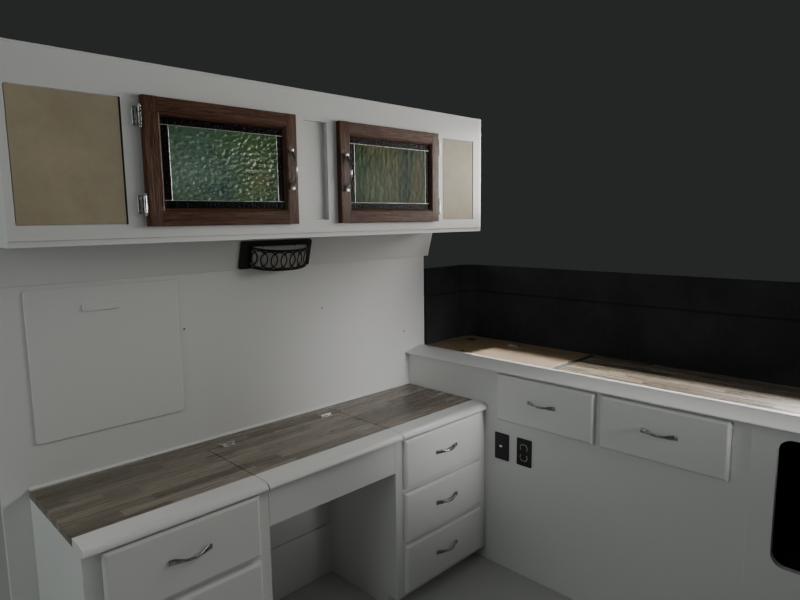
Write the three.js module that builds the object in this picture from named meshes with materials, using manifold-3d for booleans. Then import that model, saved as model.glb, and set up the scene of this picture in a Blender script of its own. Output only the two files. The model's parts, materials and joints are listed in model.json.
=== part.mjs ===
// Fitted furniture of a motor yacht's aft cabin: a vanity with a kneehole, a side
// dresser at right angles to it, the bulkhead behind them with its wall light, and
// the overhead locker with two glazed doors.
//
// Millimetres, +Z up. Lengths are measured from the inner corner, where the vanity
// meets the dresser's face: +X to starboard, +Y into the bulkhead, Z above the sole.
import * as THREE from 'three';
import { mergeVertices } from 'three/addons/utils/BufferGeometryUtils.js';
import Module from 'manifold-3d';

const wasm = await Module();
wasm.setup();

// Joinery
const seat = 0.3;           // gap between pieces that touch
const past = 1;             // joined boards and cutters run into each other by this much
const board = 18;           // thickness of the case boards
const thinBoard = 12;       // shelves under the drawers, sides of the drawer boxes
const top = 24;             // thickness of the table tops and their nosing
const frontThickness = 18;  // drawer fronts
const frontProud = 19;      // drawer fronts and doors stand this far off the frame
const frontEdge = { width: 8, depth: 6 };  // slope round a drawer front
const lap = 10;             // a drawer front laps its opening by this much
const running = 6;          // running gap between a drawer box and its opening
const drawerFloor = 6;
const drawerBackGap = 62;   // a drawer box ends this far before the bulkhead or hull side
const lidSeam = 3;          // seam round a lift-up lid

// Vanity
const vanityHeight = 700;
const vanityLeft = -1590;
const vanityFace = -452;
const kneeholeLeft = -1066;
const kneeholeRight = -530.5;
const apronDepth = 148;
const kneeholeBack = -58;
const lowerPanel = { top: 218, proud: 3 };
const plankFront = -388;
const noseFront = -472;
const noseRound = { depth: 26, height: 18, undercut: 5 };
const toeKick = { height: 50, depth: 50 };
const drawerRows = { first: 670, height: 190, pitch: 207, numbers: [1, 2, 3] };
const vanityPullLift = 5;   // pulls sit above the middle of their fronts
const vanityDrawers = { left: [-1546, -1106], right: [-494, -44] };
const vanityLid = { left: -1073, right: -503, back: -95, hinges: [-1000, -570] };
const lidTray = { floor: 580, gap: 6, side: 9 };
const lidMirror = { side: 60, front: 20, back: 45, thickness: 4 };

// Side dresser
const sideHeight = 872;
const sideDepth = 452;
const sideEnd = -1983;
const sideDrawers = { bottom: 647, top: 841, near: [-956, -524], far: [-1408, -976] };
const sidePullLift = 7;
const sideDivisions = [-514, -1418];
const sideNose = {
  front: -20, back: 97, crown: 4, crest: [66, 88], shoulder: [-13, 856], round: [7, 5],
  undercut: 3,
};
const sideLid = { front: 100, hinge: 348.5, near: -703, far: -18, hinges: [-101, -353] };
const binFloor = 330;
const plankStart = -730;
const cubby = { near: -1913, far: -1533, bottom: 420, top: 820, radius: 40, shelf: 408 };
const openingPanel = { far: -1463, thickness: 4 };
const wallPlates = {
  side_switch_plate: { y: [-579, -509], z: [474, 588] },
  side_socket_plate: { y: [-688, -618], z: [476, 590] },
};
const wallPlate = { thickness: 5, corner: 5 };

// Bulkhead and overhead locker
const bulkheadLeft = -1660;
const bulkheadRight = 113;
const band = { bottom: 1300, top: 1420, foot: 6, head: 40, right: 136 };
const access = { left: -1560, right: -1109, bottom: 830, top: 1285, thickness: 6, corner: 8 };
const accessLatch = { left: -1405, right: -1300, bottom: 1210, top: 1232, proud: 14 };
const lining = { top: 1240, thickness: 12, side: 438, corner: 60 };
const locker = { right: 84, face: -373, front: 28, bottom: 1420, top: 1880, corner: 25 };
const lockerLip = { height: 15, depth: 6 };  // step along the locker's lower edge
const doorHeights = [1464, 1796];
const doorStile = 47;
const doorLap = 20;             // a door laps its opening by this much
const doorProud = 20;
const doorSticking = { width: 10, depth: 9 };  // slope round the glass
const doorRest = 0.5;           // gap behind a shut door
const pullHeight = 1630;        // middle of the door pulls
const doorHingeHeights = [1521, 1744];
const doors = { left: [-1344, -874], right: [-703, -217] };
const inserts = { left: [-1640, -1395], right: [-171, 12] };
const insertHeights = [1472, 1784];
const insertSeat = { depth: 4, margin: 2, right: 5 };
const centreBay = { left: -834, right: -742, bottom: 1476, top: 1788, depth: 18 };

// Wall light, in the plane of the leaning band
const light = { left: -878, right: -571, centre: -718, halfWidth: 124, reach: 66 };
const lightPlate = { heights: [4, 108], thickness: 12, corner: 6 };
const lightDrum = { low: 12, high: 92, rim: 7, rimWidth: 5.5 };
const lightCover = { inset: 7, low: 13, high: 89 };
const lightRings = { pitches: 8, outer: 33.5, inner: 29, thickness: 3, steps: 28 };

// Colours, roughness and metalness
const finishes = {
  paint: [0xd9d9d4, 0.4, 0], plank: [0x8d8377, 0.55, 0], tan: [0x9a8767, 0.7, 0],
  oak: [0x3a211a, 0.35, 0], glass: [0x46603a, 0.15, 0], black: [0x171614, 0.6, 0],
  chrome: [0xc8c8c8, 0.15, 1], pewter: [0x8f8d88, 0.3, 1], bronze: [0x2c2622, 0.45, 0.8],
  frosted: [0x8d8c86, 0.5, 0], mirror: [0xbfc4c6, 0.05, 0.9],
};

const materials = Object.fromEntries(Object.entries(finishes).map(
  ([name, [color, roughness, metalness]]) =>
    [name, new THREE.MeshStandardMaterial({ name, color, roughness, metalness })]));

// Solids

function solid(geometry) {
  const bare = geometry.clone();
  bare.deleteAttribute('normal');
  bare.deleteAttribute('uv');
  const merged = mergeVertices(bare, 1e-3);
  const mesh = new wasm.Mesh({
    numProp: 3,
    vertProperties: new Float32Array(merged.attributes.position.array),
    triVerts: new Uint32Array(merged.index.array),
  });
  return new wasm.Manifold(mesh);
}

function geometryOf(shape) {
  const mesh = shape.getMesh();
  const geometry = new THREE.BufferGeometry();
  geometry.setAttribute('position', new THREE.BufferAttribute(mesh.vertProperties, 3));
  geometry.setIndex(new THREE.BufferAttribute(mesh.triVerts, 1));
  geometry.computeVertexNormals();
  return geometry;
}

// A box whose face towards -Y is larger by `grow` all round
function tapered([x0, x1], [y0, y1], [z0, z1], grow) {
  const geometry = new THREE.BoxGeometry(x1 - x0, y1 - y0, z1 - z0);
  const place = geometry.attributes.position;
  for (let index = 0; index < place.count; index += 1) {
    if (place.getY(index) < 0) {
      place.setX(index, place.getX(index) + Math.sign(place.getX(index)) * grow);
      place.setZ(index, place.getZ(index) + Math.sign(place.getZ(index)) * grow);
    }
  }
  geometry.translate((x0 + x1) / 2, (y0 + y1) / 2, (z0 + z1) / 2);
  return solid(geometry);
}

const box = (x, y, z) => tapered(x, y, z, 0);

const join = (shapes) => shapes.reduce((whole, shape) => whole.add(shape));
const cut = (shape, holes) => holes.reduce((rest, hole) => rest.subtract(hole), shape);

// An outline in the YZ plane, drawn out along X
function alongX(shape, [x0, x1], curveSegments = 6) {
  const options = { depth: x1 - x0, bevelEnabled: false, curveSegments };
  const geometry = new THREE.ExtrudeGeometry(shape, options);
  const turn = new THREE.Matrix4().set(0, 0, 1, x0, 1, 0, 0, 0, 0, 1, 0, 0, 0, 0, 0, 1);
  return solid(geometry.applyMatrix4(turn));
}

// An outline in the XZ plane, drawn out along Y
function alongY(shape, [y0, y1], curveSegments = 6) {
  const options = { depth: y1 - y0, bevelEnabled: false, curveSegments };
  const geometry = new THREE.ExtrudeGeometry(shape, options);
  const turn = new THREE.Matrix4().set(1, 0, 0, 0, 0, 0, -1, y1, 0, 1, 0, 0, 0, 0, 0, 1);
  return solid(geometry.applyMatrix4(turn));
}

// An outline in the XY plane, drawn out upwards
function alongZ(shape, [z0, z1], curveSegments = 6) {
  const options = { depth: z1 - z0, bevelEnabled: false, curveSegments };
  const geometry = new THREE.ExtrudeGeometry(shape, options);
  return solid(geometry.translate(0, 0, z0));
}

function roundedRectangle([u0, u1], [v0, v1], radius) {
  const outline = new THREE.Shape();
  outline.moveTo(u0 + radius, v0);
  outline.absarc(u1 - radius, v0 + radius, radius, -Math.PI / 2, 0, false);
  outline.absarc(u1 - radius, v1 - radius, radius, 0, Math.PI / 2, false);
  outline.absarc(u0 + radius, v1 - radius, radius, Math.PI / 2, Math.PI, false);
  outline.absarc(u0 + radius, v0 + radius, radius, Math.PI, Math.PI * 1.5, false);
  return outline;
}

const cabin = new THREE.Group();
const furniture = new THREE.Group();
cabin.add(furniture);

function addNode(name, shape, finish, parent = furniture) {
  const mesh = new THREE.Mesh(geometryOf(shape), materials[finish]);
  mesh.name = name;
  parent.add(mesh);
  return mesh;
}

// Arched bar pull: flat feet, a narrow waist between them, standing off the wood.
// It lies along X and stands out along -Y from its own origin.
const pull = {
  length: 122, foot: 24, footHeight: 19, pinch: 8, reach: 27, strap: 7, bow: 28.5, shoulder: 30,
};

function pullSolid() {
  const half = pull.length / 2;
  const footEnd = half - pull.foot;
  const inner = pull.strap - pull.reach;
  const side = new THREE.Shape();
  side.moveTo(-half, 0);
  side.quadraticCurveTo(-footEnd, -pull.bow, 0, -pull.reach);
  side.quadraticCurveTo(footEnd, -pull.bow, half, 0);
  side.lineTo(footEnd, 0);
  side.quadraticCurveTo(pull.shoulder, inner, 0, inner);
  side.quadraticCurveTo(-pull.shoulder, inner, -footEnd, 0);
  const strap = alongZ(side, [-pull.footHeight / 2, pull.footHeight / 2]);

  // Seen from the front, both edges curve in towards the waist
  const edge = pull.footHeight / 2;
  const front = new THREE.Shape();
  front.moveTo(-half - past, -edge);
  front.quadraticCurveTo(0, -edge + pull.pinch, half + past, -edge);
  front.lineTo(half + past, edge);
  front.quadraticCurveTo(0, edge - pull.pinch, -half - past, edge);
  return strap.intersect(alongY(front, [-pull.bow, past]));
}

// Drawer: a front and a box behind it, open at the top.
// Its origin is the middle of the frame opening, at the frame's face.
function drawerSolid(width, height, boxLength) {
  const outerX = width / 2 - lap - running;
  const low = -height / 2 + lap + running;
  const high = height / 2 - lap - 2 * running;
  const slope = -frontProud + frontEdge.depth;
  const back = -frontProud + frontThickness;
  const front = join([
    box([-width / 2, width / 2], [slope, back], [-height / 2, height / 2]),
    tapered([-width / 2, width / 2], [-frontProud, slope], [-height / 2, height / 2],
      -frontEdge.width),
  ]);
  const outside = box([-outerX, outerX], [back - past, boxLength], [low, high]);
  const inside = box([-outerX + thinBoard, outerX - thinBoard],
    [back + thinBoard, boxLength - thinBoard], [low + drawerFloor, high + past]);
  return join([front, cut(outside, [inside])]);
}

// Heights of the shelf that a drawer runs on
function shelfUnder(openingBottom) {
  const high = openingBottom + running - seat;
  return [high - thinBoard, high];
}

const openingOf = ([low, high]) => [low + lap, high - lap];

function rowHeights(number) {
  const high = drawerRows.first - (number - 1) * drawerRows.pitch;
  return [high - drawerRows.height, high];
}

// Bank of three drawers: sides, shelves, face frame with three openings and a toe kick.
// The bulkhead panel closes its back.
function drawerBank([x0, x1], fronts) {
  const high = vanityHeight - top - seat;
  const frameBack = vanityFace + board;
  const toeBack = vanityFace + toeKick.depth;
  const openHeights = drawerRows.numbers.map((number) => openingOf(rowHeights(number)));
  const sides = [[x0, x0 + board], [x1 - board, x1]].map(
    (x) => cut(box(x, [vanityFace, -seat], [0, high]),
      [box([x[0] - past, x[1] + past], [vanityFace - past, toeBack], [-past, toeKick.height])]));
  const frame = cut(box([x0, x1], [vanityFace, frameBack], [toeKick.height, high]),
    openHeights.map((z) => box(openingOf(fronts), [vanityFace - past, frameBack + past], z)));
  const shelves = openHeights.slice(0, -1).map(
    ([bottom]) => box([x0, x1], [frameBack - past, -seat], shelfUnder(bottom)));
  const [, baseTop] = shelfUnder(openHeights.at(-1)[0]);
  return join([
    ...sides, frame, ...shelves,
    box([x0, x1], [frameBack - past, -seat], [toeKick.height, baseTop]),
    box([x0, x1], [toeBack, toeBack + thinBoard], [0, toeKick.height + past]),
  ]);
}

// Rounded nosing of the vanity top, in section
function vanityNoseOutline() {
  const low = vanityHeight - top;
  const outline = new THREE.Shape();
  outline.moveTo(plankFront - seat, low);
  outline.lineTo(plankFront - seat, vanityHeight);
  outline.lineTo(noseFront + noseRound.depth, vanityHeight);
  outline.absellipse(noseFront + noseRound.depth, vanityHeight - noseRound.height,
    noseRound.depth, noseRound.height, Math.PI / 2, Math.PI, false);
  outline.lineTo(noseFront + noseRound.undercut, low);
  return outline;
}

function buildVanityDrawers() {
  const banks = { left: [vanityLeft, kneeholeLeft], right: [kneeholeRight, -seat] };
  const boxLength = -vanityFace - drawerBackGap;
  for (const [side, span] of Object.entries(banks)) {
    const fronts = vanityDrawers[side];
    addNode(`vanity_${side}_bank`, drawerBank(span, fronts), 'paint');
    const width = fronts[1] - fronts[0];
    for (const number of drawerRows.numbers) {
      const place = new THREE.Group();
      const [low, up] = rowHeights(number);
      place.position.set((fronts[0] + fronts[1]) / 2, vanityFace, (low + up) / 2);
      furniture.add(place);
      addNode(`vanity_${side}_drawer_${number}`, drawerSolid(width, up - low, boxLength),
        'paint', place);
      const grip = addNode(`vanity_${side}_pull_${number}`, pullSolid(), 'pewter', place);
      grip.position.set(0, -frontProud - seat, vanityPullLift);
    }
  }
}

function buildKneehole() {
  const high = vanityHeight - top - seat;
  const knee = [kneeholeLeft + seat, kneeholeRight - seat];
  const panelBack = kneeholeBack + board;
  addNode('kneehole_back_panel',
    box(knee, [kneeholeBack, panelBack], [lowerPanel.top + past, high]), 'paint');
  addNode('kneehole_lower_panel',
    box(knee, [kneeholeBack - lowerPanel.proud, panelBack], [0, lowerPanel.top]), 'paint');

  // Shallow tray under the lid, with the apron as its front
  const { floor, side } = lidTray;
  const trayBack = vanityLid.back - lidTray.gap;
  addNode('vanity_apron_tray', join([
    box(knee, [vanityFace, vanityFace + board], [vanityHeight - apronDepth, high]),
    box(knee, [vanityFace, kneeholeBack - seat], [floor, floor + thinBoard]),
    box(knee, [trayBack - thinBoard, trayBack], [floor, high]),
    box([knee[0], knee[0] + side], [vanityFace, trayBack], [floor, high]),
    box([knee[1] - side, knee[1]], [vanityFace, trayBack], [floor, high]),
  ]), 'paint');
}

// Plank top, cut for the lift-up lid, and its nosing in three lengths
function buildVanityTop() {
  const thick = [vanityHeight - top, vanityHeight];
  const lidCut = [vanityLid.left - lidSeam / 2, vanityLid.right + lidSeam / 2];
  const lidSpan = [vanityLid.left + lidSeam / 2, vanityLid.right - lidSeam / 2];
  addNode('vanity_top', cut(box([vanityLeft, -seat], [plankFront, -seat], thick),
    [box(lidCut, [plankFront - past, vanityLid.back + lidSeam / 2], [0, vanityHeight + past])]),
  'plank');
  addNode('vanity_nosing_left', alongX(vanityNoseOutline(), [vanityLeft, lidCut[0]]), 'paint');
  addNode('vanity_nosing_right', alongX(vanityNoseOutline(), [lidCut[1], -seat]), 'paint');

  // Lift-up lid, hinged on its back seam
  addNode('vanity_lid', box(lidSpan, [plankFront, vanityLid.back - lidSeam / 2], thick), 'plank');
  addNode('vanity_lid_nosing', alongX(vanityNoseOutline(), lidSpan), 'paint');
  const mirrorTop = thick[0] - seat;
  addNode('vanity_lid_mirror', box(
    [lidSpan[0] + lidMirror.side, lidSpan[1] - lidMirror.side],
    [plankFront + lidMirror.front, vanityLid.back - lidMirror.back],
    [mirrorTop - lidMirror.thickness, mirrorTop]), 'mirror');
  vanityLid.hinges.forEach((x, index) => {
    const hinge = addNode(`vanity_lid_hinge_${index + 1}`, lidHingeSolid(), 'chrome');
    hinge.position.set(x, vanityLid.back, vanityHeight);
  });
}

// Lid hinge: a leaf on the fixed top and a barrel over the seam, along X
const lidHinge = { width: 50, leaf: 22, leafTop: 2.2, axisHeight: 4, radius: 3.5 };

function lidHingeSolid() {
  const half = lidHinge.width / 2;
  const outline = new THREE.Shape();
  outline.absarc(0, lidHinge.axisHeight, lidHinge.radius, 0, Math.PI * 2, false);
  const leaf = box([-half, half], [0, lidHinge.leaf], [seat, lidHinge.leafTop]);
  return join([alongX(outline, [-half, half], 10), leaf]);
}

function cubbyHole(depth) {
  const outline = roundedRectangle([cubby.near, cubby.far], [cubby.bottom, cubby.top],
    cubby.radius);
  return alongX(outline, depth);
}

// Side dresser: a corner bin, two drawers over a plain front, and an open cubby
function sideCase() {
  const high = sideHeight - top - seat;
  const depth = [0, sideDepth];
  const openHeights = openingOf([sideDrawers.bottom, sideDrawers.top]);
  const [first, last] = sideDivisions;
  const partition = (y) => box(depth, [y - board / 2, y + board / 2], [0, high]);
  const face = cut(box([0, board], [sideEnd, -seat], [0, high]), [
    ...[sideDrawers.near, sideDrawers.far].map(
      (y) => box([-past, board + past], openingOf(y), openHeights)),
    cubbyHole([-past, board + past]),
  ]);
  return join([
    face, ...sideDivisions.map(partition),
    box([sideDepth - board, sideDepth], [sideEnd, -seat], [0, high]),
    box(depth, [sideEnd, sideEnd + board], [0, high]),
    box(depth, [-board - seat, -seat], [0, high]),
    box([board - past, sideDepth], [last, first], shelfUnder(openHeights[0])),
    box(depth, [first, -seat], [binFloor - board, binFloor]),
    box(depth, [sideEnd, last], [cubby.shelf - board, cubby.shelf]),
  ]);
}

// Nosing of the side top: a narrow crest along the planks, then a long slope to the front
function sideNoseOutline() {
  const low = sideHeight - top;
  const high = sideHeight + sideNose.crown;
  const [x, z] = sideNose.shoulder;
  const [across, down] = sideNose.round;
  const outline = new THREE.Shape();
  outline.moveTo(sideNose.back, low);
  outline.lineTo(sideNose.back, sideHeight);
  outline.lineTo(sideNose.crest[1], high);
  outline.lineTo(sideNose.crest[0], high);
  outline.lineTo(x, z);
  outline.absellipse(x, z - down, across, down, Math.PI / 2, Math.PI, false);
  outline.lineTo(sideNose.front + sideNose.undercut, low);
  return outline;
}

function buildSideCase() {
  addNode('side_case', sideCase(), 'paint');
  const sheet = box([-openingPanel.thickness, -seat], [sideEnd, openingPanel.far],
    [0, sideHeight - top - seat]);
  addNode('side_opening_panel', cut(sheet, [cubbyHole([-openingPanel.thickness - past, past])]),
    'paint');
  for (const [name, { y, z }] of Object.entries(wallPlates)) {
    addNode(name, alongX(roundedRectangle(y, z, wallPlate.corner),
      [-wallPlate.thickness, -seat], 3), 'black');
  }
}

function buildSideDrawers() {
  const boxLength = sideDepth - drawerBackGap;
  const height = sideDrawers.top - sideDrawers.bottom;
  [sideDrawers.near, sideDrawers.far].forEach(([y0, y1], index) => {
    const place = new THREE.Group();
    place.position.set(0, (y0 + y1) / 2, sideDrawers.bottom + height / 2);
    place.rotation.z = -Math.PI / 2;
    furniture.add(place);
    addNode(`side_drawer_${index + 1}`, drawerSolid(y1 - y0, height, boxLength), 'paint', place);
    const grip = addNode(`side_pull_${index + 1}`, pullSolid(), 'pewter', place);
    grip.position.set(0, -frontProud - seat, sidePullLift);
  });
}

function buildSideTop() {
  const thick = [sideHeight - top, sideHeight];
  addNode('side_nosing', alongY(sideNoseOutline(), [sideEnd, -seat]), 'paint');
  addNode('side_top_planks',
    box([sideNose.back + seat, sideDepth], [sideEnd, plankStart], thick), 'plank');
  addNode('side_lid', box([sideLid.front, sideLid.hinge - lidSeam / 2],
    [sideLid.near, sideLid.far], thick), 'tan');
  addNode('side_back_strip', box([sideLid.hinge + lidSeam / 2, sideDepth],
    [sideLid.near, -seat], thick), 'tan');
  sideLid.hinges.forEach((y, index) => {
    const hinge = addNode(`side_lid_hinge_${index + 1}`, lidHingeSolid(), 'chrome');
    hinge.rotation.z = -Math.PI / 2;
    hinge.position.set(sideLid.hinge, y, sideHeight);
  });
}

// Black lining at the back of the side top, round the cabin's corner
function liningSolid() {
  const inner = { y: -lining.thickness, x: lining.side };
  const outer = { y: -seat, x: lining.side + lining.thickness };
  const start = bulkheadRight + seat;
  const radius = lining.corner;
  const outline = new THREE.Shape();
  outline.moveTo(start, inner.y);
  outline.absarc(inner.x - radius, inner.y - radius, radius, Math.PI / 2, 0, true);
  outline.lineTo(inner.x, sideEnd);
  outline.lineTo(outer.x, sideEnd);
  outline.absarc(outer.x - radius, outer.y - radius, radius, 0, Math.PI / 2, false);
  outline.lineTo(start, outer.y);
  return alongZ(outline, [sideHeight + seat, lining.top], 8);
}

function buildBulkhead() {
  addNode('bulkhead_panel', box([bulkheadLeft, bulkheadRight], [0, board], [0, locker.top]),
    'paint');
  const lean = new THREE.Shape();
  lean.moveTo(-seat, band.bottom);
  lean.lineTo(-seat, band.top - seat);
  lean.lineTo(-band.head, band.top - seat);
  lean.lineTo(-band.foot, band.bottom);
  addNode('upper_band', alongX(lean, [bulkheadLeft, band.right]), 'paint');

  const latch = box([accessLatch.left, accessLatch.right], [-accessLatch.proud, -past],
    [accessLatch.bottom, accessLatch.top]);
  const panel = alongY(roundedRectangle([access.left, access.right],
    [access.bottom, access.top], access.corner), [-access.thickness, -seat], 3);
  addNode('access_panel', join([panel, latch]), 'paint');
  addNode('niche_lining', liningSolid(), 'black');
}

// Wall light: a back plate and a half drum, standing square off the leaning band.
// Inside its group the band is upright, and the drum stands out along -Y.
const drumFoot = -lightPlate.thickness - seat;

function drumSolid(inset, heights) {
  const half = new THREE.Shape();
  half.absellipse(light.centre, drumFoot, light.halfWidth - inset, light.reach - inset,
    Math.PI, Math.PI * 2, false);
  return alongZ(half, heights, 20);
}

const drumCurve = new THREE.EllipseCurve(light.centre, drumFoot, light.halfWidth,
  light.reach, Math.PI, Math.PI * 2);
const drumLength = drumCurve.getLength();

// A place on the drum, by its distance along the curve and its depth below the skin.
// Past either end the skin runs straight back into the wall.
function onDrum(along, depth, height) {
  const share = Math.min(Math.max(along / drumLength, 0), 1);
  const beyond = Math.abs(along - share * drumLength);
  const point = drumCurve.getPointAt(share);
  const tangent = drumCurve.getTangentAt(share);
  return [point.x - tangent.y * depth, point.y + tangent.x * depth + beyond, height];
}

// One flat ring, bent round the drum
function latticeRing(middle) {
  const { outer, inner, thickness, steps } = lightRings;
  const centreHeight = (lightDrum.low + lightDrum.high) / 2;
  const corners = [[inner, 0], [outer, 0], [outer, thickness], [inner, thickness]];
  const places = [];
  const faces = [];
  for (let step = 0; step < steps; step += 1) {
    const turn = (step / steps) * Math.PI * 2;
    for (const [radius, depth] of corners) {
      places.push(...onDrum(middle + radius * Math.cos(turn), depth,
        centreHeight + radius * Math.sin(turn)));
    }
    for (let corner = 0; corner < 4; corner += 1) {
      const a = step * 4 + corner;
      const b = step * 4 + ((corner + 1) % 4);
      const nextA = ((step + 1) % steps) * 4 + corner;
      const nextB = ((step + 1) % steps) * 4 + ((corner + 1) % 4);
      faces.push(a, b, nextB, a, nextB, nextA);
    }
  }
  const geometry = new THREE.BufferGeometry();
  geometry.setAttribute('position', new THREE.Float32BufferAttribute(places, 3));
  geometry.setIndex(faces);
  return solid(geometry);
}

// Lattice: two rims and a row of interlocking rings between them
function latticeSolid() {
  const { low, high, rim, rimWidth } = lightDrum;
  const rims = [[low, low + rim], [high - rim, high]].map((heights) => cut(
    drumSolid(0, heights), [drumSolid(rimWidth, [heights[0] - past, heights[1] + past])]));
  const rings = [];
  for (let index = 0; index <= lightRings.pitches; index += 1) {
    rings.push(latticeRing((index / lightRings.pitches) * drumLength));
  }
  const room = box([light.left, light.right], [drumFoot - light.reach - past, drumFoot],
    [low, high]);
  return join([...rims, join(rings).intersect(room)]);
}

function buildLight() {
  const place = new THREE.Group();
  place.position.set(0, -band.foot, band.bottom);
  place.rotation.x = Math.atan2(band.head - band.foot, band.top - band.bottom);
  furniture.add(place);
  addNode('wall_light_plate', alongY(
    roundedRectangle([light.left, light.right], lightPlate.heights, lightPlate.corner),
    [-lightPlate.thickness, -seat], 3), 'bronze', place);
  addNode('wall_light_diffuser', drumSolid(lightCover.inset, [lightCover.low, lightCover.high]),
    'frosted', place);
  addNode('wall_light_lattice', latticeSolid(), 'bronze', place);
}

// Overhead locker: a case with two compartments behind its glazed doors. Its front is
// a face frame with a sheet behind it, which shows at the back of the centre bay.
function lockerCase() {
  const back = -seat;
  const { face, bottom, right } = locker;
  const frontBack = face + locker.front;
  const high = locker.top;
  const outline = new THREE.Shape();
  outline.moveTo(bulkheadLeft, back);
  outline.lineTo(bulkheadLeft, face);
  outline.absarc(right - locker.corner, face + locker.corner, locker.corner,
    -Math.PI / 2, 0, false);
  outline.lineTo(right, back);
  const whole = alongZ(outline, [bottom, high], 6);
  const inner = [bottom + board, high - board];
  const middle = (centreBay.left + centreBay.right) / 2;
  const rooms = [[bulkheadLeft + board, middle - board / 2],
    [middle + board / 2, right - board]];
  const hollow = rooms.map((x) => box(x, [frontBack, -thinBoard], inner));
  const lip = box([bulkheadLeft - past, right + past], [face - past, face + lockerLip.depth],
    [bottom - past, bottom + lockerLip.height]);
  const doorways = Object.values(doors).map(([x0, x1]) => box([x0 + doorLap, x1 - doorLap],
    [face - past, frontBack + past], [doorHeights[0] + doorLap, doorHeights[1] - doorLap]));
  const { margin } = insertSeat;
  const pockets = Object.values(inserts).map(([x0, x1]) => box(
    [x0 - margin, x1 + insertSeat.right], [face - past, face + insertSeat.depth + seat],
    [insertHeights[0] - margin, insertHeights[1] + margin]));
  const bay = box([centreBay.left, centreBay.right], [face - past, face + centreBay.depth],
    [centreBay.bottom, centreBay.top]);
  return cut(whole, [...hollow, lip, ...doorways, ...pockets, bay]);
}

// Frame-and-panel door. Its glass lies in a rebate from behind.
const rebate = { width: 6, depth: 10, glass: 5 };

function doorFrame([x0, x1]) {
  const [z0, z1] = doorHeights;
  const y = [locker.face - doorProud, locker.face - doorRest];
  const open = ([low, high], grow) => [low + doorStile - grow, high - doorStile + grow];
  return cut(box([x0, x1], y, [z0, z1]), [
    box(open([x0, x1], 0), [y[0] - past, y[1] + past], open([z0, z1], 0)),
    tapered(open([x0, x1], 0), [y[0], y[0] + doorSticking.depth], open([z0, z1], 0),
      doorSticking.width),
    box(open([x0, x1], rebate.width), [y[1] - rebate.depth, y[1] + past],
      open([z0, z1], rebate.width)),
  ]);
}

function doorGlass([x0, x1]) {
  const inset = doorStile - rebate.width + seat;
  const front = locker.face - doorRest - rebate.depth + seat;
  return box([x0 + inset, x1 - inset], [front, front + rebate.glass],
    [doorHeights[0] + inset, doorHeights[1] - inset]);
}

// Face hinge: a leaf on the locker's face and a barrel beside the door
const faceHinge = {
  length: 65, leafLength: 55, leafWidth: 18, leafThickness: 3, axisOut: 15, radius: 4.5,
  web: 5, offset: 6,
};

function faceHingeSolid(side) {
  const { length, leafLength, leafWidth, leafThickness, axisOut, radius, web } = faceHinge;
  const outline = new THREE.Shape();
  outline.absarc(0, -axisOut, radius, 0, Math.PI * 2, false);
  const span = [-leafLength / 2, leafLength / 2];
  const reach = [0, side * leafWidth].sort((a, b) => a - b);
  return join([
    alongZ(outline, [-length / 2, length / 2], 10),
    box(reach, [-leafThickness, -seat], span),
    box([-web / 2, web / 2], [-axisOut, -past], span),
  ]);
}

function buildLocker() {
  addNode('locker_case', lockerCase(), 'paint');
  for (const [side, span] of Object.entries(inserts)) {
    addNode(`locker_insert_${side}`,
      box(span, [locker.face, locker.face + insertSeat.depth], insertHeights), 'tan');
  }
}

function buildDoors() {
  const hinged = { left: -1, right: 1 };
  for (const [side, span] of Object.entries(doors)) {
    addNode(`${side}_door_frame`, doorFrame(span), 'oak');
    addNode(`${side}_door_glass`, doorGlass(span), 'glass');
    const grip = addNode(`${side}_door_pull`, pullSolid(), 'pewter');
    const stileMiddle = side === 'left' ? span[1] - doorStile / 2 : span[0] + doorStile / 2;
    grip.rotation.y = Math.PI / 2;
    grip.position.set(stileMiddle, locker.face - doorProud - seat, pullHeight);
    const sign = hinged[side];
    const edge = (side === 'left' ? span[0] : span[1]) + sign * faceHinge.offset;
    doorHingeHeights.forEach((z, index) => {
      const hinge = addNode(`${side}_door_hinge_${index + 1}`, faceHingeSolid(sign), 'chrome');
      hinge.position.set(edge, locker.face, z);
    });
  }
}

buildVanityDrawers();
buildKneehole();
buildVanityTop();
buildSideCase();
buildSideDrawers();
buildSideTop();
buildBulkhead();
buildLight();
buildLocker();
buildDoors();

// The origin lies under the middle of the whole, on the sole
furniture.position.set(-(bulkheadLeft + sideDepth) / 2, -(sideEnd + board) / 2, 0);

export default cabin;
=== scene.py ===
import json
import math

import bmesh
import bpy
from mathutils import Matrix, Vector, noise

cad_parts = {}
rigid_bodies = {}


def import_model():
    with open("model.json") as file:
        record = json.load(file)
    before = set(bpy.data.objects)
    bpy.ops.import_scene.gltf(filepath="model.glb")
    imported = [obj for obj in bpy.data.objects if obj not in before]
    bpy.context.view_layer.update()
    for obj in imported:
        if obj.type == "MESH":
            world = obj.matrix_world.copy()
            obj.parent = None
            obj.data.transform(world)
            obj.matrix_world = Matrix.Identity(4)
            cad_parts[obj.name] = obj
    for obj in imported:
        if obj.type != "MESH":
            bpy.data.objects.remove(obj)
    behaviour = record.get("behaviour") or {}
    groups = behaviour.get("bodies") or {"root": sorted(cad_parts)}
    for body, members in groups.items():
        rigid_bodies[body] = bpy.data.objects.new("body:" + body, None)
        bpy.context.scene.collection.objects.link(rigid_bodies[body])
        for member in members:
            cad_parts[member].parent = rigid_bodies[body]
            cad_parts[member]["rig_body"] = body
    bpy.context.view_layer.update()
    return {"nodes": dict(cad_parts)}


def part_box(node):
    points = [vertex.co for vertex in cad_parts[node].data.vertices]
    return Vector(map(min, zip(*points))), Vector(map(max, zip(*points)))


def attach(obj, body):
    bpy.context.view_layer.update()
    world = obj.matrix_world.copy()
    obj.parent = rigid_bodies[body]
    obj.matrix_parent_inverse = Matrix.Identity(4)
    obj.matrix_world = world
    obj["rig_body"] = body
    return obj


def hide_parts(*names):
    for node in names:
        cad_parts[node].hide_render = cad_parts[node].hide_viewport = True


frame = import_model()
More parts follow.
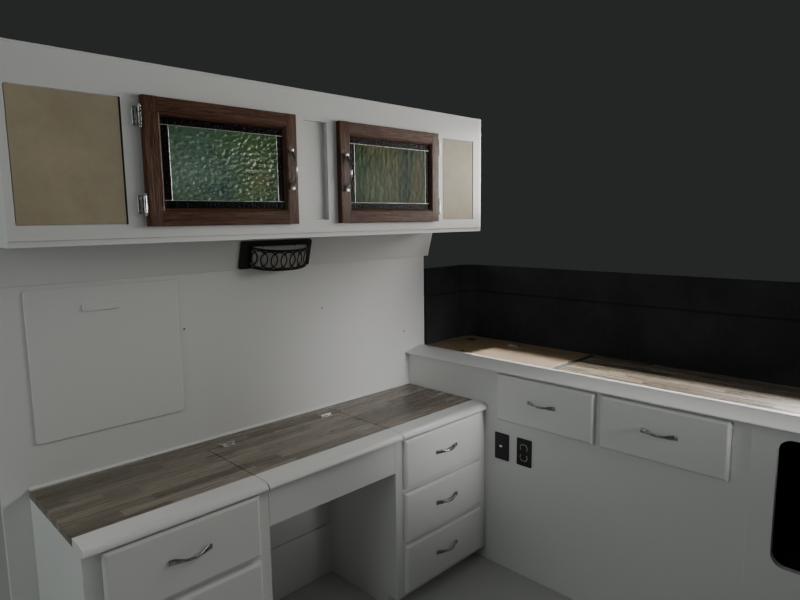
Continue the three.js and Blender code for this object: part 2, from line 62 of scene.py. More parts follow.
cadNodes = frame["nodes"]
mm = 0.001

# Inner corner of the unit, where the vanity meets the dresser's face
sideCaseLow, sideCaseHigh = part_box("side_case")
jointGap = 0.3 * mm
corner = Vector((sideCaseLow.x, sideCaseHigh.y + jointGap, 0))


def at(x, y, z):  # millimetres from the inner corner, as a place in the frame
    return corner + Vector((x, y, z)) * mm


def inMm(rows):  # rows of millimetres, as metres
    return [tuple(part * mm for part in row) for row in rows]


# Shader helpers

def plug(tree, sockets, values):  # links a socket, or sets a constant on the socket itself
    for key, value in values.items():
        socket = sockets[key]
        if isinstance(value, bpy.types.NodeSocket):
            tree.links.new(value, socket)
        elif isinstance(value, tuple) and len(value) == 3 and socket.type == "RGBA":
            socket.default_value = (*value, 1.0)
        else:
            socket.default_value = value


def addShaderNode(tree, kind, inputs=None, **settings):
    node = tree.nodes.new(kind)
    for key, value in settings.items():
        setattr(node, key, value)
    plug(tree, node.inputs, inputs or {})
    return node


def mathNode(tree, operation, first, second=0.0, third=0.0):
    node = addShaderNode(tree, "ShaderNodeMath", {0: first, 1: second, 2: third}, operation=operation)
    return node.outputs[0]


def vectorNode(tree, operation, first, second):
    return addShaderNode(tree, "ShaderNodeVectorMath", {0: first, 1: second}, operation=operation).outputs


def scaledVector(tree, vector, factors):
    return vectorNode(tree, "MULTIPLY", vector, factors)[0]


def noiseNode(tree, vector, scale, detail=3.0, roughness=0.5, distortion=0.0):
    node = addShaderNode(tree, "ShaderNodeTexNoise", {
        "Vector": vector, "Scale": scale, "Detail": detail, "Roughness": roughness,
        "Distortion": distortion,
    })
    return node.outputs["Fac"]


def addedTo(tree, levels, mask):  # a base value, and what a full mask adds to it
    return mathNode(tree, "MULTIPLY_ADD", mask, levels[1], levels[0])


def spanNode(tree, value, low, high, toLow=0.0, toHigh=1.0):  # clamped linear map
    node = addShaderNode(tree, "ShaderNodeMapRange", {0: value, 1: low, 2: high, 3: toLow, 4: toHigh})
    return node.outputs[0]


def rampNode(tree, factor, stops):
    node = addShaderNode(tree, "ShaderNodeValToRGB", {"Fac": factor})
    elements = node.color_ramp.elements
    while len(elements) < len(stops):
        elements.new(0.5)
    for element, (position, color) in zip(elements, stops):
        element.position = position
        element.color = (*color, 1.0)
    return node.outputs["Color"]


def mixColor(tree, factor, first, second):
    node = addShaderNode(tree, "ShaderNodeMix", {0: factor, 6: first, 7: second}, data_type="RGBA")
    return node.outputs[2]


def newGroup(name, numbers, outputs):  # a group with a vector and these numbers as its inputs
    tree = bpy.data.node_groups.new(name, "ShaderNodeTree")
    tree.interface.new_socket("Vector", in_out="INPUT", socket_type="NodeSocketVector")
    for label, value in numbers.items():
        socket = tree.interface.new_socket(label, in_out="INPUT", socket_type="NodeSocketFloat")
        socket.default_value = value
    for label, kind in outputs.items():
        tree.interface.new_socket(label, in_out="OUTPUT", socket_type="NodeSocket" + kind)
    return tree, tree.nodes.new("NodeGroupInput").outputs, tree.nodes.new("NodeGroupOutput").inputs


def useGroup(tree, group, inputs):
    return addShaderNode(tree, "ShaderNodeGroup", inputs, node_tree=group).outputs


def marksGroup():  # faint handling marks, 0 clean to 1 marked
    tree, given, out = newGroup("handlingMarks", {"Scale": 6.0, "Amount": 0.5}, {"Mask": "Float"})
    cloud = noiseNode(tree, given["Vector"], given["Scale"], 5.0, 0.65)
    spots = spanNode(tree, cloud, 0.42, 0.68)
    plug(tree, out, {"Mask": mathNode(tree, "MULTIPLY", spots, given["Amount"])})
    return tree


def grainGroup():  # wood grain that runs along the vector's X
    tree, given, out = newGroup("woodGrain", {"Along": 4.0, "Across": 60.0, "Waver": 1.2},
                                {"Figure": "Float", "Pores": "Float", "Height": "Float"})
    stretch = addShaderNode(tree, "ShaderNodeCombineXYZ", {
        "X": given["Along"], "Y": given["Across"], "Z": given["Across"],
    })
    fibreScale, poreDepth = 5.5, 0.6
    scaled = scaledVector(tree, given["Vector"], stretch.outputs[0])
    figure = noiseNode(tree, scaled, 1.0, 6.0, 0.6, given["Waver"])
    fibre = noiseNode(tree, scaledVector(tree, scaled, (fibreScale,) * 3), 1.0, 3.0, 0.7)
    pores = spanNode(tree, fibre, 0.56, 0.7)
    rise = mathNode(tree, "SUBTRACT", figure, mathNode(tree, "MULTIPLY", pores, poreDepth))
    plug(tree, out, {"Figure": figure, "Pores": pores, "Height": rise})
    return tree


def stripGroup():  # staggered strips that run along the vector's X
    tree, given, out = newGroup("staggeredStrips", {"Strip Width": 0.04, "Strip Length": 0.4},
                                {"Tone": "Float", "Joint": "Float", "Shifted": "Vector"})
    stagger, sideJoint, endJoint = 7.0, 0.014, 0.0016  # joints as a share of the strip
    parts = addShaderNode(tree, "ShaderNodeSeparateXYZ", {0: given["Vector"]}).outputs
    across = mathNode(tree, "DIVIDE", parts["Y"], given["Strip Width"])
    row = mathNode(tree, "FLOOR", across)
    rowChance = addShaderNode(tree, "ShaderNodeTexWhiteNoise", {"W": row}, noise_dimensions="1D")
    along = mathNode(tree, "ADD", mathNode(tree, "DIVIDE", parts["X"], given["Strip Length"]),
                     mathNode(tree, "MULTIPLY", rowChance.outputs["Value"], stagger))
    spot = addShaderNode(tree, "ShaderNodeCombineXYZ", {"X": row, "Y": mathNode(tree, "FLOOR", along)})
    chance = addShaderNode(tree, "ShaderNodeTexWhiteNoise", {"Vector": spot.outputs[0]},
                           noise_dimensions="2D").outputs
    sideLine = mathNode(tree, "LESS_THAN", mathNode(tree, "PINGPONG", across, 0.5), sideJoint)
    endLine = mathNode(tree, "LESS_THAN", mathNode(tree, "PINGPONG", along, 0.5), endJoint)
    drift = scaledVector(tree, chance["Color"], (9.0, 9.0, 9.0))
    plug(tree, out, {
        "Tone": chance["Value"], "Joint": mathNode(tree, "MAXIMUM", sideLine, endLine),
        "Shifted": vectorNode(tree, "ADD", given["Vector"], drift)[0],
    })
    return tree


def castGroup():  # colour drift in hand-cast glass: a wavering run across, and fine streaks
    tree, given, out = newGroup("castGlass", {"Streak Across": 9.0, "Streak Along": 2.0, "Waver": 0.1},
                                {"Across": "Float", "Up": "Float", "Streak": "Float"})
    stretch = addShaderNode(tree, "ShaderNodeCombineXYZ", {
        "X": given["Streak Across"], "Z": given["Streak Along"],
    })
    streaks = noiseNode(tree, scaledVector(tree, given["Vector"], stretch.outputs[0]), 1.0, 4.0, 0.6, 0.5)
    drift = noiseNode(tree, given["Vector"], 2.6, 3.0, 0.55, 0.4)
    parts = addShaderNode(tree, "ShaderNodeSeparateXYZ", {0: given["Vector"]}).outputs
    shift = mathNode(tree, "MULTIPLY", mathNode(tree, "SUBTRACT", drift, 0.5), given["Waver"])
    plug(tree, out, {
        "Across": mathNode(tree, "ADD", parts["X"], shift),
        "Up": mathNode(tree, "ADD", parts["Z"], shift), "Streak": streaks,
    })
    return tree


handlingMarks = marksGroup()
woodGrain = grainGroup()
staggeredStrips = stripGroup()
castGlass = castGroup()


def newMaterial(name):
    material = bpy.data.materials.new(name)
    material.use_nodes = True
    tree = material.node_tree
    return material, tree, tree.nodes["Principled BSDF"]


def ownPlace(tree):  # the piece's own coordinates
    return tree.nodes.new("ShaderNodeTexCoord").outputs["Object"]


def grainPlace(tree, along="X"):  # the same, with the grain's run turned onto X
    turns = {"X": (0, 0, 0), "Y": (0, 0, math.pi / 2), "Z": (0, math.pi / 2, 0)}
    return addShaderNode(tree, "ShaderNodeMapping", {
        "Vector": ownPlace(tree), "Rotation": turns[along],
    }).outputs[0]


def marksOn(tree, place, scale, amount):
    return useGroup(tree, handlingMarks, {"Vector": place, "Scale": scale, "Amount": amount})["Mask"]


def bumpFrom(tree, shader, height, relief):  # relief is a depth in metres and a strength
    bump = addShaderNode(tree, "ShaderNodeBump", {
        "Height": height, "Distance": relief[0], "Strength": relief[1],
    })
    plug(tree, shader.inputs, {"Normal": bump.outputs[0]})


# Materials. Marks are a scale and an amount, relief a depth and a strength

paint = {
    "color": (0.74, 0.745, 0.735), "marked": (0.71, 0.715, 0.70), "marks": (1.8, 0.25),
    "roughness": (0.26, 0.32), "stippleScale": 260.0, "waveScale": 14.0, "waveShare": 0.2,
    "relief": (0.00025, 0.15),
}


def paintMaterial(name="whitePaint"):  # satin enamel on plywood, put on with a roller
    material, tree, shader = newMaterial(name)
    place = grainPlace(tree)
    marks = marksOn(tree, place, *paint["marks"])
    stipple = noiseNode(tree, place, paint["stippleScale"])
    wave = noiseNode(tree, place, paint["waveScale"], 4.0, 0.6)
    plug(tree, shader.inputs, {
        "Base Color": mixColor(tree, marks, paint["color"], paint["marked"]),
        "Roughness": spanNode(tree, wave, 0.0, 1.0, *paint["roughness"]),
    })
    bumpFrom(tree, shader, mathNode(tree, "MULTIPLY_ADD", wave, paint["waveShare"], stipple), paint["relief"])
    return material


laminate = {
    "width": 0.0385, "length": 0.42, "along": 4.0, "across": 80.0,
    "tones": [(0.0, (0.066, 0.052, 0.036)), (0.32, (0.128, 0.104, 0.076)),
              (0.64, (0.215, 0.180, 0.136)), (1.0, (0.330, 0.284, 0.222))],
    "figure": 0.95, "stripContrast": 0.62, "sunFading": 1.5,
    "pore": (0.05, 0.038, 0.027), "poreShare": 0.3, "joint": (0.045, 0.034, 0.025), "jointShare": 0.4,
    "jointDepth": 1.5, "roughness": (0.18, 0.18), "relief": (0.0004, 0.4),
}


# every tone can be lifted by a share, which paints extra light into the planks
def laminateMaterial(name, along, paintedLightLift=1.0):  # printed planks of staggered strips
    material, tree, shader = newMaterial(name)
    strip = useGroup(tree, staggeredStrips, {
        "Vector": grainPlace(tree, along), "Strip Width": laminate["width"],
        "Strip Length": laminate["length"],
    })
    grain = useGroup(tree, woodGrain, {
        "Vector": strip["Shifted"], "Along": laminate["along"], "Across": laminate["across"],
    })
    contrast = laminate["stripContrast"]
    tone = mathNode(tree, "MULTIPLY_ADD", grain["Figure"], laminate["figure"],
                    mathNode(tree, "MULTIPLY_ADD", strip["Tone"], contrast, -contrast / 2))
    color = rampNode(tree, tone, [(place, tuple(part * paintedLightLift for part in shade))
                                  for place, shade in laminate["tones"]])
    for mask, share, shade in ((grain["Pores"], laminate["poreShare"], laminate["pore"]),
                               (strip["Joint"], laminate["jointShare"], laminate["joint"])):
        color = mixColor(tree, mathNode(tree, "MULTIPLY", mask, share), color, shade)
    plug(tree, shader.inputs, {
        "Base Color": color, "Roughness": addedTo(tree, laminate["roughness"], grain["Figure"]),
    })
    groove = mathNode(tree, "MULTIPLY", strip["Joint"], laminate["jointDepth"])
    bumpFrom(tree, shader, mathNode(tree, "SUBTRACT", grain["Height"], groove), laminate["relief"])
    return material


boards = {
    "tanLid": [(0.3, (0.250, 0.172, 0.094)), (0.7, (0.345, 0.246, 0.140))],
    "sandBoard": [(0.3, (0.36, 0.305, 0.20)), (0.7, (0.46, 0.395, 0.27))],
}
boardFinish = {"fleck": (0.13, 0.09, 0.05), "fleckScale": 420.0, "fleckSpan": (0.48, 0.75, 0.0, 0.55),
               "cloudScale": 9.0, "roughnessSpan": (0.2, 0.8, 0.5, 0.62), "relief": (0.0003, 0.4)}


def boardMaterial(name):  # bare board: fine fibres and a few darker flecks
    material, tree, shader = newMaterial(name)
    place = grainPlace(tree)
    fleck = noiseNode(tree, place, boardFinish["fleckScale"], 4.0, 0.75)
    base = rampNode(tree, noiseNode(tree, place, boardFinish["cloudScale"], 5.0, 0.6), boards[name])
    shade = spanNode(tree, fleck, *boardFinish["fleckSpan"])
    plug(tree, shader.inputs, {
        "Base Color": mixColor(tree, shade, base, boardFinish["fleck"]),
        "Roughness": spanNode(tree, fleck, *boardFinish["roughnessSpan"]),
    })
    bumpFrom(tree, shader, fleck, boardFinish["relief"])
    return material


oak = {  # dark stained oak under satin varnish
    "tones": [(0.25, (0.026, 0.0112, 0.0072)), (0.5, (0.086, 0.0370, 0.0220)),
              (0.75, (0.200, 0.0980, 0.0620))],
    "pore": (0.009, 0.0045, 0.003), "poreShare": 0.8, "along": 6.0, "across": 105.0, "waver": 2.2,
    "roughness": (0.32, 0.25), "gloss": 0.14, "relief": (0.0012, 0.7),
}
plywood = {
    "tones": [(0.3, (0.42, 0.29, 0.17)), (0.7, (0.58, 0.43, 0.27))],
    "along": 6.0, "across": 45.0, "waver": 1.2, "roughness": (0.5, 0.15), "gloss": 0.5,
    "relief": (0.0004, 0.3),
}


def woodMaterial(name, wood, along="X"):
    material, tree, shader = newMaterial(name)
    grain = useGroup(tree, woodGrain, {
        "Vector": grainPlace(tree, along), "Along": wood["along"], "Across": wood["across"],
        "Waver": wood["waver"],
    })
    color = rampNode(tree, grain["Figure"], wood["tones"])
    if "pore" in wood:
        color = mixColor(tree, mathNode(tree, "MULTIPLY", grain["Pores"], wood["poreShare"]), color,
                         wood["pore"])
    plug(tree, shader.inputs, {
        "Base Color": color, "Specular IOR Level": wood["gloss"],
        "Roughness": addedTo(tree, wood["roughness"], grain["Pores"]),
    })
    bumpFrom(tree, shader, grain["Height"], wood["relief"])
    return material


# Two colours mixed by handling marks, or by a mottle of that scale. Roughness is a base and
# what the marks add. The relief follows its own grain, or the mottle where none is given
finishes = {
    "chrome": {"colors": ((0.62, 0.62, 0.60), (0.16, 0.16, 0.155)), "marks": (70.0, 0.7), "metallic": 1.0,
               "roughness": (0.12, 0.22), "grain": (900.0, 2.0), "relief": (0.0001, 0.15)},
    "pewter": {"colors": ((0.42, 0.41, 0.40), (0.09, 0.086, 0.08)), "marks": (70.0, 0.75), "metallic": 1.0,
               "roughness": (0.2, 0.28), "grain": (900.0, 2.0), "relief": (0.0001, 0.15)},
    "leadCame": {"colors": ((0.62, 0.62, 0.60), (0.30, 0.30, 0.29)), "marks": (70.0, 0.6), "metallic": 1.0,
                 "roughness": (0.32, 0.25), "grain": (900.0, 2.0), "relief": (0.0001, 0.15)},
    "darkBronze": {"colors": ((0.012, 0.010, 0.009), (0.030, 0.026, 0.022)), "mottle": 120.0,
                   "metallic": 0.5, "roughness": (0.4, 0.1), "relief": (0.0003, 0.5)},
    "blackPlastic": {"colors": ((0.004, 0.004, 0.004), (0.008, 0.008, 0.008)), "mottle": 300.0,
                     "roughness": (0.38, 0.1), "relief": (0.0001, 0.5)},
    "borderGlass": {"colors": ((0.001, 0.001, 0.0012), (0.006, 0.006, 0.007)), "mottle": 260.0,
                    "gloss": 0.06, "roughness": (0.06, 0.1), "relief": (0.0022, 0.5)},
    # the switch's pale toggle, and the pale rims round the sockets that are painted highlights
    "paleToggleAndHighlightPlastic": {"colors": ((0.82, 0.82, 0.79), (0.92, 0.92, 0.89)), "mottle": 220.0,
                    "roughness": (0.3, 0.1), "relief": (0.0001, 0.5)},
    "frostedCover": {"colors": ((0.44, 0.44, 0.41), (0.30, 0.295, 0.27)), "marks": (22.0, 0.6),
                     "roughness": (0.42, 0.2), "grain": (800.0, 3.0), "relief": (0.0002, 0.3),
                     # painted light: faces that look up are lightened, as if lit from above, from this far to
                     # this far
                     "paintedTopLight": (0.86, 0.85, 0.81), "paintedTopLightSlope": (0.6, 0.9)},
    "lidMirror": {"colors": ((0.83, 0.85, 0.86), (0.7, 0.72, 0.73)), "marks": (8.0, 0.3), "metallic": 1.0,
                  "roughness": (0.02, 0.12)},
}


def finishMaterial(name):
    values = finishes[name]
    material, tree, shader = newMaterial(name)
    place = grainPlace(tree)
    if "marks" in values:
        mask = marksOn(tree, place, *values["marks"])
    else:
        mask = noiseNode(tree, place, values["mottle"], 4.0)
    color = mixColor(tree, mask, *values["colors"])
    # painted light: lightens the faces that look up, as if lit from above
    if "paintedTopLight" in values:
        facing = addShaderNode(tree, "ShaderNodeNewGeometry").outputs["Normal"]
        upward = addShaderNode(tree, "ShaderNodeSeparateXYZ", {0: facing}).outputs["Z"]
        color = mixColor(tree, spanNode(tree, upward, *values["paintedTopLightSlope"]), color, values["paintedTopLight"])
    plug(tree, shader.inputs, {
        "Base Color": color, "Roughness": addedTo(tree, values["roughness"], mask),
        "Metallic": values.get("metallic", 0.0), "Specular IOR Level": values.get("gloss", 0.5),
    })
    if "relief" in values:
        grain = noiseNode(tree, place, *values["grain"]) if "grain" in values else mask
        bumpFrom(tree, shader, grain, values["relief"])
    return material


felt = {
    "dark": (0.0120, 0.0122, 0.0140), "light": (0.0420, 0.0425, 0.0480), "marks": (5.0, 0.7),
    "ribScale": (260.0, 260.0, 6.0), "ribShare": 0.5, "marksShare": 0.6, "roughness": 0.85, "gloss": 0.18,
    "relief": (0.0005, 0.4), "seamHeight": 1107 * mm, "seamPaintedShade": (1 * mm, 7 * mm),
}


def feltMaterial(name="blackLining"):  # black felt with faint upright ribs, and painted shade along the seam's crease
    material, tree, shader = newMaterial(name)
    place = ownPlace(tree)
    rib = noiseNode(tree, scaledVector(tree, place, felt["ribScale"]), 1.0)
    marks = marksOn(tree, place, *felt["marks"])
    height = addShaderNode(tree, "ShaderNodeSeparateXYZ", {0: place}).outputs["Z"]
    gap = mathNode(tree, "ABSOLUTE", mathNode(tree, "SUBTRACT", height, felt["seamHeight"]))
    clear = spanNode(tree, gap, *felt["seamPaintedShade"])  # painted shade: 0 in the seam's crease, 1 on the open felt
    tone = mathNode(tree, "MULTIPLY_ADD", rib, felt["ribShare"],
                    mathNode(tree, "MULTIPLY", marks, felt["marksShare"]))
    tone = mathNode(tree, "MULTIPLY", tone, clear)
    plug(tree, shader.inputs, {
        "Base Color": mixColor(tree, tone, felt["dark"], felt["light"]),
        "Roughness": felt["roughness"], "Specular IOR Level": felt["gloss"],
    })
    bumpFrom(tree, shader, rib, felt["relief"])
    return material


whitePaint = paintMaterial()
vanityLaminate = laminateMaterial("vanityLaminate", "X")
# painted light: the side's planks are the same laminate with every tone lifted, to look more brightly lit
sideLaminate = laminateMaterial("sideLaminate", "Y", laminate["sunFading"])
tanLid, sandBoard = (boardMaterial(name) for name in boards)
oakUpright = woodMaterial("oakUpright", oak, "Z")
oakCross = woodMaterial("oakCross", oak)
drawerPlywood = woodMaterial("drawerPlywood", plywood)
(chrome, pewter, leadCame, darkBronze, blackPlastic, borderGlass, paleToggleAndHighlightPlastic, frostedCover,
 lidMirror) = (finishMaterial(name) for name in finishes)
blackLining = feltMaterial()
print("materials ready:", len(bpy.data.materials))


# Mesh helpers

def bodyOfNode(nodeName):
    return cadNodes[nodeName]["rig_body"]


def finishPiece(piece, material, body, stands=()):
    piece.data.materials.clear()
    piece.data.materials.append(material)
    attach(piece, body)
    if stands:
        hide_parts(*stands)


def smoothed(piece, angle=38.0, weighted=True):  # edges sharper than the angle stay sharp
    mesh = piece.data
    mesh.polygons.foreach_set("use_smooth", [True] * len(mesh.polygons))
    mesh.set_sharp_from_angle(angle=math.radians(angle))
    if weighted:
        modifier = piece.modifiers.new("evenShading", "WEIGHTED_NORMAL")
        modifier.keep_sharp = True
    return piece


def meshPiece(name, shapes):  # several (verts, faces) in one mesh
    verts, faces = [], []
    for shapeVerts, shapeFaces in shapes:
        start = len(verts)
        verts.extend(tuple(v) for v in shapeVerts)
        faces.extend([[index + start for index in face] for face in shapeFaces])
    mesh = bpy.data.meshes.new(name)
    mesh.from_pydata(verts, [], faces)
    work = bmesh.new()
    work.from_mesh(mesh)
    bmesh.ops.remove_doubles(work, verts=work.verts, dist=1e-6)
    bmesh.ops.recalc_face_normals(work, faces=work.faces)
    work.to_mesh(mesh)
    work.free()
    piece = bpy.data.objects.new(name, mesh)
    bpy.context.scene.collection.objects.link(piece)
    return piece


def addPiece(name, shapes, material, body, stands=(), angle=38.0, weighted=True):
    finishPiece(smoothed(meshPiece(name, shapes), angle, weighted), material, body, stands)


def loftShape(rings, closed=False):  # a skin over rings with equal counts
    count = len(rings[0])
    verts = [Vector(point) for ring in rings for point in ring]
    levels = len(rings)
    faces = []
    for level in range(levels if closed else levels - 1):
        above = (level + 1) % levels
        for index in range(count):
            following = (index + 1) % count
            faces.append([level * count + index, level * count + following,
                          above * count + following, above * count + index])
    if not closed:
        faces.append(list(range(count)))
        faces.append([(levels - 1) * count + index for index in range(count)])
    return verts, faces


def roundedRing(x0, x1, y0, y1, radius, z, steps=2):
    points = []
    centres = ((x1 - radius, y0 + radius, -90), (x1 - radius, y1 - radius, 0),
               (x0 + radius, y1 - radius, 90), (x0 + radius, y0 + radius, 180))
    for cx, cy, start in centres:
        for step in range(steps + 1):
            turn = math.radians(start + 90 * step / steps)
            points.append((cx + radius * math.cos(turn), cy + radius * math.sin(turn), z))
    return points


def boardShape(low, high, ease):  # a board with eased edges
    levels = [(low[2], ease), (low[2] + ease * 0.3, ease * 0.3), (low[2] + ease, 0.0)]
    levels += [(low[2] + high[2] - z, inset) for z, inset in reversed(levels)]
    return loftShape([roundedRing(low[0] + inset, high[0] - inset, low[1] + inset, high[1] - inset, ease, z)
                      for z, inset in levels])


def panelShape(across, up, profile, toFrame, radius, steps=3):
    # nested outlines: each profile row is (inset, height) off the panel's back
    rings = []
    for inset, height in profile:
        ring = roundedRing(across[0] + inset, across[1] - inset, up[0] + inset, up[1] - inset,
                           max(radius - inset * 0.2, radius * 0.4), height, steps)
        rings.append([toFrame(u, v, h) for u, v, h in ring])
    return loftShape(rings)


def facingFront(y):  # panel coordinates on a face that looks along -Y
    return lambda u, v, h: (u, y - h, v)


def facingLeft(x):  # panel coordinates on a face that looks along -X
    return lambda u, v, h: (x - h, u, v)


def sweepShape(profile, ends, axis):  # a closed outline drawn along X or Y
    if axis == "X":
        return loftShape([[(end, a, b) for a, b in profile] for end in ends])
    return loftShape([[(a, end, b) for a, b in profile] for end in ends])


def squareTo(axis):  # a direction at right angles to the axis
    helper = Vector((0, 0, 1)) if abs(axis.z) < 0.9 else Vector((1, 0, 0))
    return axis.cross(helper).normalized()


def circleRing(centre, side, other, radius, sides):
    turns = [2 * math.pi * k / sides for k in range(sides)]
    return [centre + (side * math.cos(turn) + other * math.sin(turn)) * radius for turn in turns]


def tubeShape(path, radius, sides):
    points = [Vector(p) for p in path]
    rings = []
    previous = None
    for index, point in enumerate(points):
        ahead = (points[min(index + 1, len(points) - 1)] - points[max(index - 1, 0)]).normalized()
        side = squareTo(ahead)
        if previous is not None:
            side = (previous - ahead * previous.dot(ahead)).normalized()
        previous = side
        rings.append(circleRing(point, side, ahead.cross(side), radius, sides))
    return loftShape(rings)


def spunShape(profile, centre, axis, sides):  # (radius, height) rows turned about an axis
    axis = Vector(axis).normalized()
    side = squareTo(axis)
    return loftShape([circleRing(Vector(centre) + axis * height, side, axis.cross(side),
                                 max(radius, 0.02 * mm), sides) for radius, height in profile])


easing = {"flat": 1.0, "arris": 40, "segments": 3}  # angles in degrees


def softened(nodeName, material, width):  # the node's own solid with its arrises eased
    mesh = cadNodes[nodeName].data.copy()
    work = bmesh.new()
    work.from_mesh(mesh)
    bmesh.ops.remove_doubles(work, verts=work.verts, dist=1e-5)
    bmesh.ops.dissolve_limit(work, angle_limit=math.radians(easing["flat"]), verts=work.verts,
                             edges=work.edges)
    arrises = [edge for edge in work.edges if len(edge.link_faces) == 2
               and edge.calc_face_angle(0.0) > math.radians(easing["arris"])]
    bmesh.ops.bevel(work, geom=arrises, offset=width, offset_type="OFFSET", segments=easing["segments"],
                    profile=0.5, affect="EDGES", clamp_overlap=True)
    work.to_mesh(mesh)
    work.free()
    piece = bpy.data.objects.new(nodeName + "_eased", mesh)
    bpy.context.scene.collection.objects.link(piece)
    finishPiece(smoothed(piece), material, bodyOfNode(nodeName), [nodeName])


# Carcases and panels: finish, slot, eased edge, nodes

easedPieces = [
    (whitePaint, "white_paint", 1.6 * mm, [
        "vanity_left_bank", "vanity_right_bank", "kneehole_back_panel", "kneehole_lower_panel",
        "vanity_apron_tray", "side_case", "side_opening_panel", "bulkhead_panel", "upper_band",
        "access_panel", "locker_case"]),
    (vanityLaminate, "plank_laminate", 0.8 * mm, ["vanity_top", "vanity_lid"]),
    (sideLaminate, "plank_laminate", 0.8 * mm, ["side_top_planks"]),
    (tanLid, "tan_board", 0.8 * mm, ["side_lid", "side_back_strip"]),
    (sandBoard, "tan_board", 0.8 * mm, ["locker_insert_left", "locker_insert_right"]),
    (lidMirror, "mirror", 0.8 * mm, ["vanity_lid_mirror"]),
]
for finish, slotName, easeWidth, nodeNames in easedPieces:
    for nodeName in nodeNames:
        softened(nodeName, finish, easeWidth)
print("carcases and panels ready")


# Nosings

vanityNose = {"round": (30 * mm, 20 * mm), "steps": 14, "endEase": 1.2 * mm,
              "foot": inMm([(1.2, 1.5), (4, 0)])}
sideNose = {"crown": 4 * mm, "crest": (9 * mm, 31 * mm), "crestEase": inMm([(-3, 0), (0, 0.3), (3, 1.0)]),
            "shoulder": 20 * mm, "round": (7 * mm, 5 * mm), "steps": 8,
            "foot": inMm([(0.8, 2), (4, 0)])}


def noseArc(low, top, nose):  # a quarter round, from the top to the front
    deep, tall = nose["round"]
    turns = [math.pi / 2 * k / nose["steps"] for k in range(nose["steps"] + 1)]
    arc = [(low.y + deep - deep * math.sin(turn), top - tall + tall * math.cos(turn)) for turn in turns]
    return arc + [(low.y + inward, low.z + rise) for inward, rise in nose["foot"]]


def vanityNosing(nodeName):
    low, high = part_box(nodeName)
    profile = [(high.y, low.z), (high.y, high.z)] + noseArc(low, high.z, vanityNose)
    ease = vanityNose["endEase"]
    centre = Vector((0, (low.y + high.y) / 2, (low.z + high.z) / 2))
    rings = []
    for x, shrink in ((low.x, 1.0), (low.x + ease, 0.0), (high.x - ease, 0.0), (high.x, 1.0)):
        ring = []
        for y, z in profile:
            inward = Vector((0, centre.y - y, centre.z - z)).normalized() * ease * shrink
            ring.append((x, y + inward.y, z + inward.z))
        rings.append(ring)
    addPiece(nodeName + "_rounded", [loftShape(rings)], whitePaint, bodyOfNode(nodeName),
             [nodeName], angle=50)


def sideNosing(nodeName="side_nosing"):
    low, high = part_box(nodeName)
    back, front = (high.x - offset for offset in sideNose["crest"])
    profile = [(high.x, low.z), (high.x, high.z - sideNose["crown"]), (back, high.z)]
    profile += [(front - out, high.z - drop) for out, drop in sideNose["crestEase"]]
    foot = Vector((0, low.x, low.z))  # the arc is drawn in the nosing's own section
    profile += noseArc(foot, high.z - sideNose["shoulder"], sideNose)
    addPiece(nodeName + "_rounded", [sweepShape(profile, (low.y, high.y), "Y")], whitePaint, "root",
             [nodeName], angle=50)


for nodeName in ("vanity_nosing_left", "vanity_nosing_right", "vanity_lid_nosing"):
    vanityNosing(nodeName)
sideNosing()
print("nosings ready")


# Drawers

drawer = {
    # the front's edge, as (inset, height): square, a quirk, then an ovolo
    "edge": inMm([(0, 0), (0, 9.5), (0.5, 11.5), (2.0, 13.6), (4.6, 15.2), (5.6, 16.6), (8.0, 17.6),
                  (11.0, 18.0)]),
    "frontThickness": 18 * mm, "frontCorner": 2 * mm, "boxSide": 12 * mm, "boxFloor": 6 * mm,
    "besideBox": 16 * mm, "belowBox": 16 * mm, "aboveBox": 22 * mm, "letIn": 0.5 * mm, "boxEase": 0.8 * mm,
}


def drawerPieces(nodeName):
    low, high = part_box(nodeName)
    sideways = nodeName.startswith("side")
    across = (low.y, high.y) if sideways else (low.x, high.x)
    plane = (low.x if sideways else low.y) + drawer["frontThickness"]
    facing = facingLeft(plane) if sideways else facingFront(plane)
    front = panelShape(across, (low.z, high.z), drawer["edge"], facing, drawer["frontCorner"])
    addPiece(nodeName + "_front", [front], whitePaint, nodeName, [nodeName], angle=50)

    side, floor = drawer["boxSide"], drawer["boxFloor"]
    z0, z1 = low.z + drawer["belowBox"], high.z - drawer["aboveBox"]
    a0, a1 = across[0] + drawer["besideBox"], across[1] - drawer["besideBox"]
    d0, d1 = plane, high.x if sideways else high.y

    def board(across, depth, bottom, top):
        near, far = zip(depth, across) if sideways else zip(across, depth)
        return boardShape((*near, bottom), (*far, top), drawer["boxEase"])

    let = drawer["letIn"]  # each board sits a little inside its neighbour
    between = (a0 + side - let, a1 - side + let)
    shapes = [board((a0, a0 + side), (d0, d1), z0, z1), board((a1 - side, a1), (d0, d1), z0, z1),
              board(between, (d1 - side, d1 - let), z0 + let, z1 - let),
              board(between, (d0 + let, d0 + side), z0 + let, z1 - let),
              board(between, (d0 + side - let, d1 - side + let), z0 + 2 * let, z0 + floor)]
    addPiece(nodeName + "_box", shapes, drawerPlywood, nodeName)


# Bow pulls: a flat tab at each end, a slim arched strap between them

pull = {"half": 61 * mm, "reach": 27 * mm, "tabLength": 15 * mm, "tabHeight": 16 * mm,
        "waist": 7.5 * mm, "thickness": 5 * mm, "thinning": 0.12, "lift": 0.2 * mm,
        "tabLap": 0.55, "tabSpan": (0.30, 0.80), "archPower": 0.62, "sectionPowers": (0.55, 0.7),
        "steps": 44, "sides": 14}


def smoothStep(low, high, value):
    share = min(max((value - low) / (high - low), 0.0), 1.0)
    return share * share * (3 - 2 * share)


def pullRise(a):  # height of the strap's middle at a distance from the pull's middle
    share = smoothStep(0.0, 1.0, 1 - abs(a) / (pull["half"] - pull["tabLength"] * pull["tabLap"]))
    tab = pull["thickness"] / 2 + pull["lift"]
    return tab + (pull["reach"] - pull["thickness"] - pull["lift"]) * share ** pull["archPower"]


def squared(value, power):  # fuller than a circle's own sine or cosine
    return math.copysign(abs(value) ** power, value)


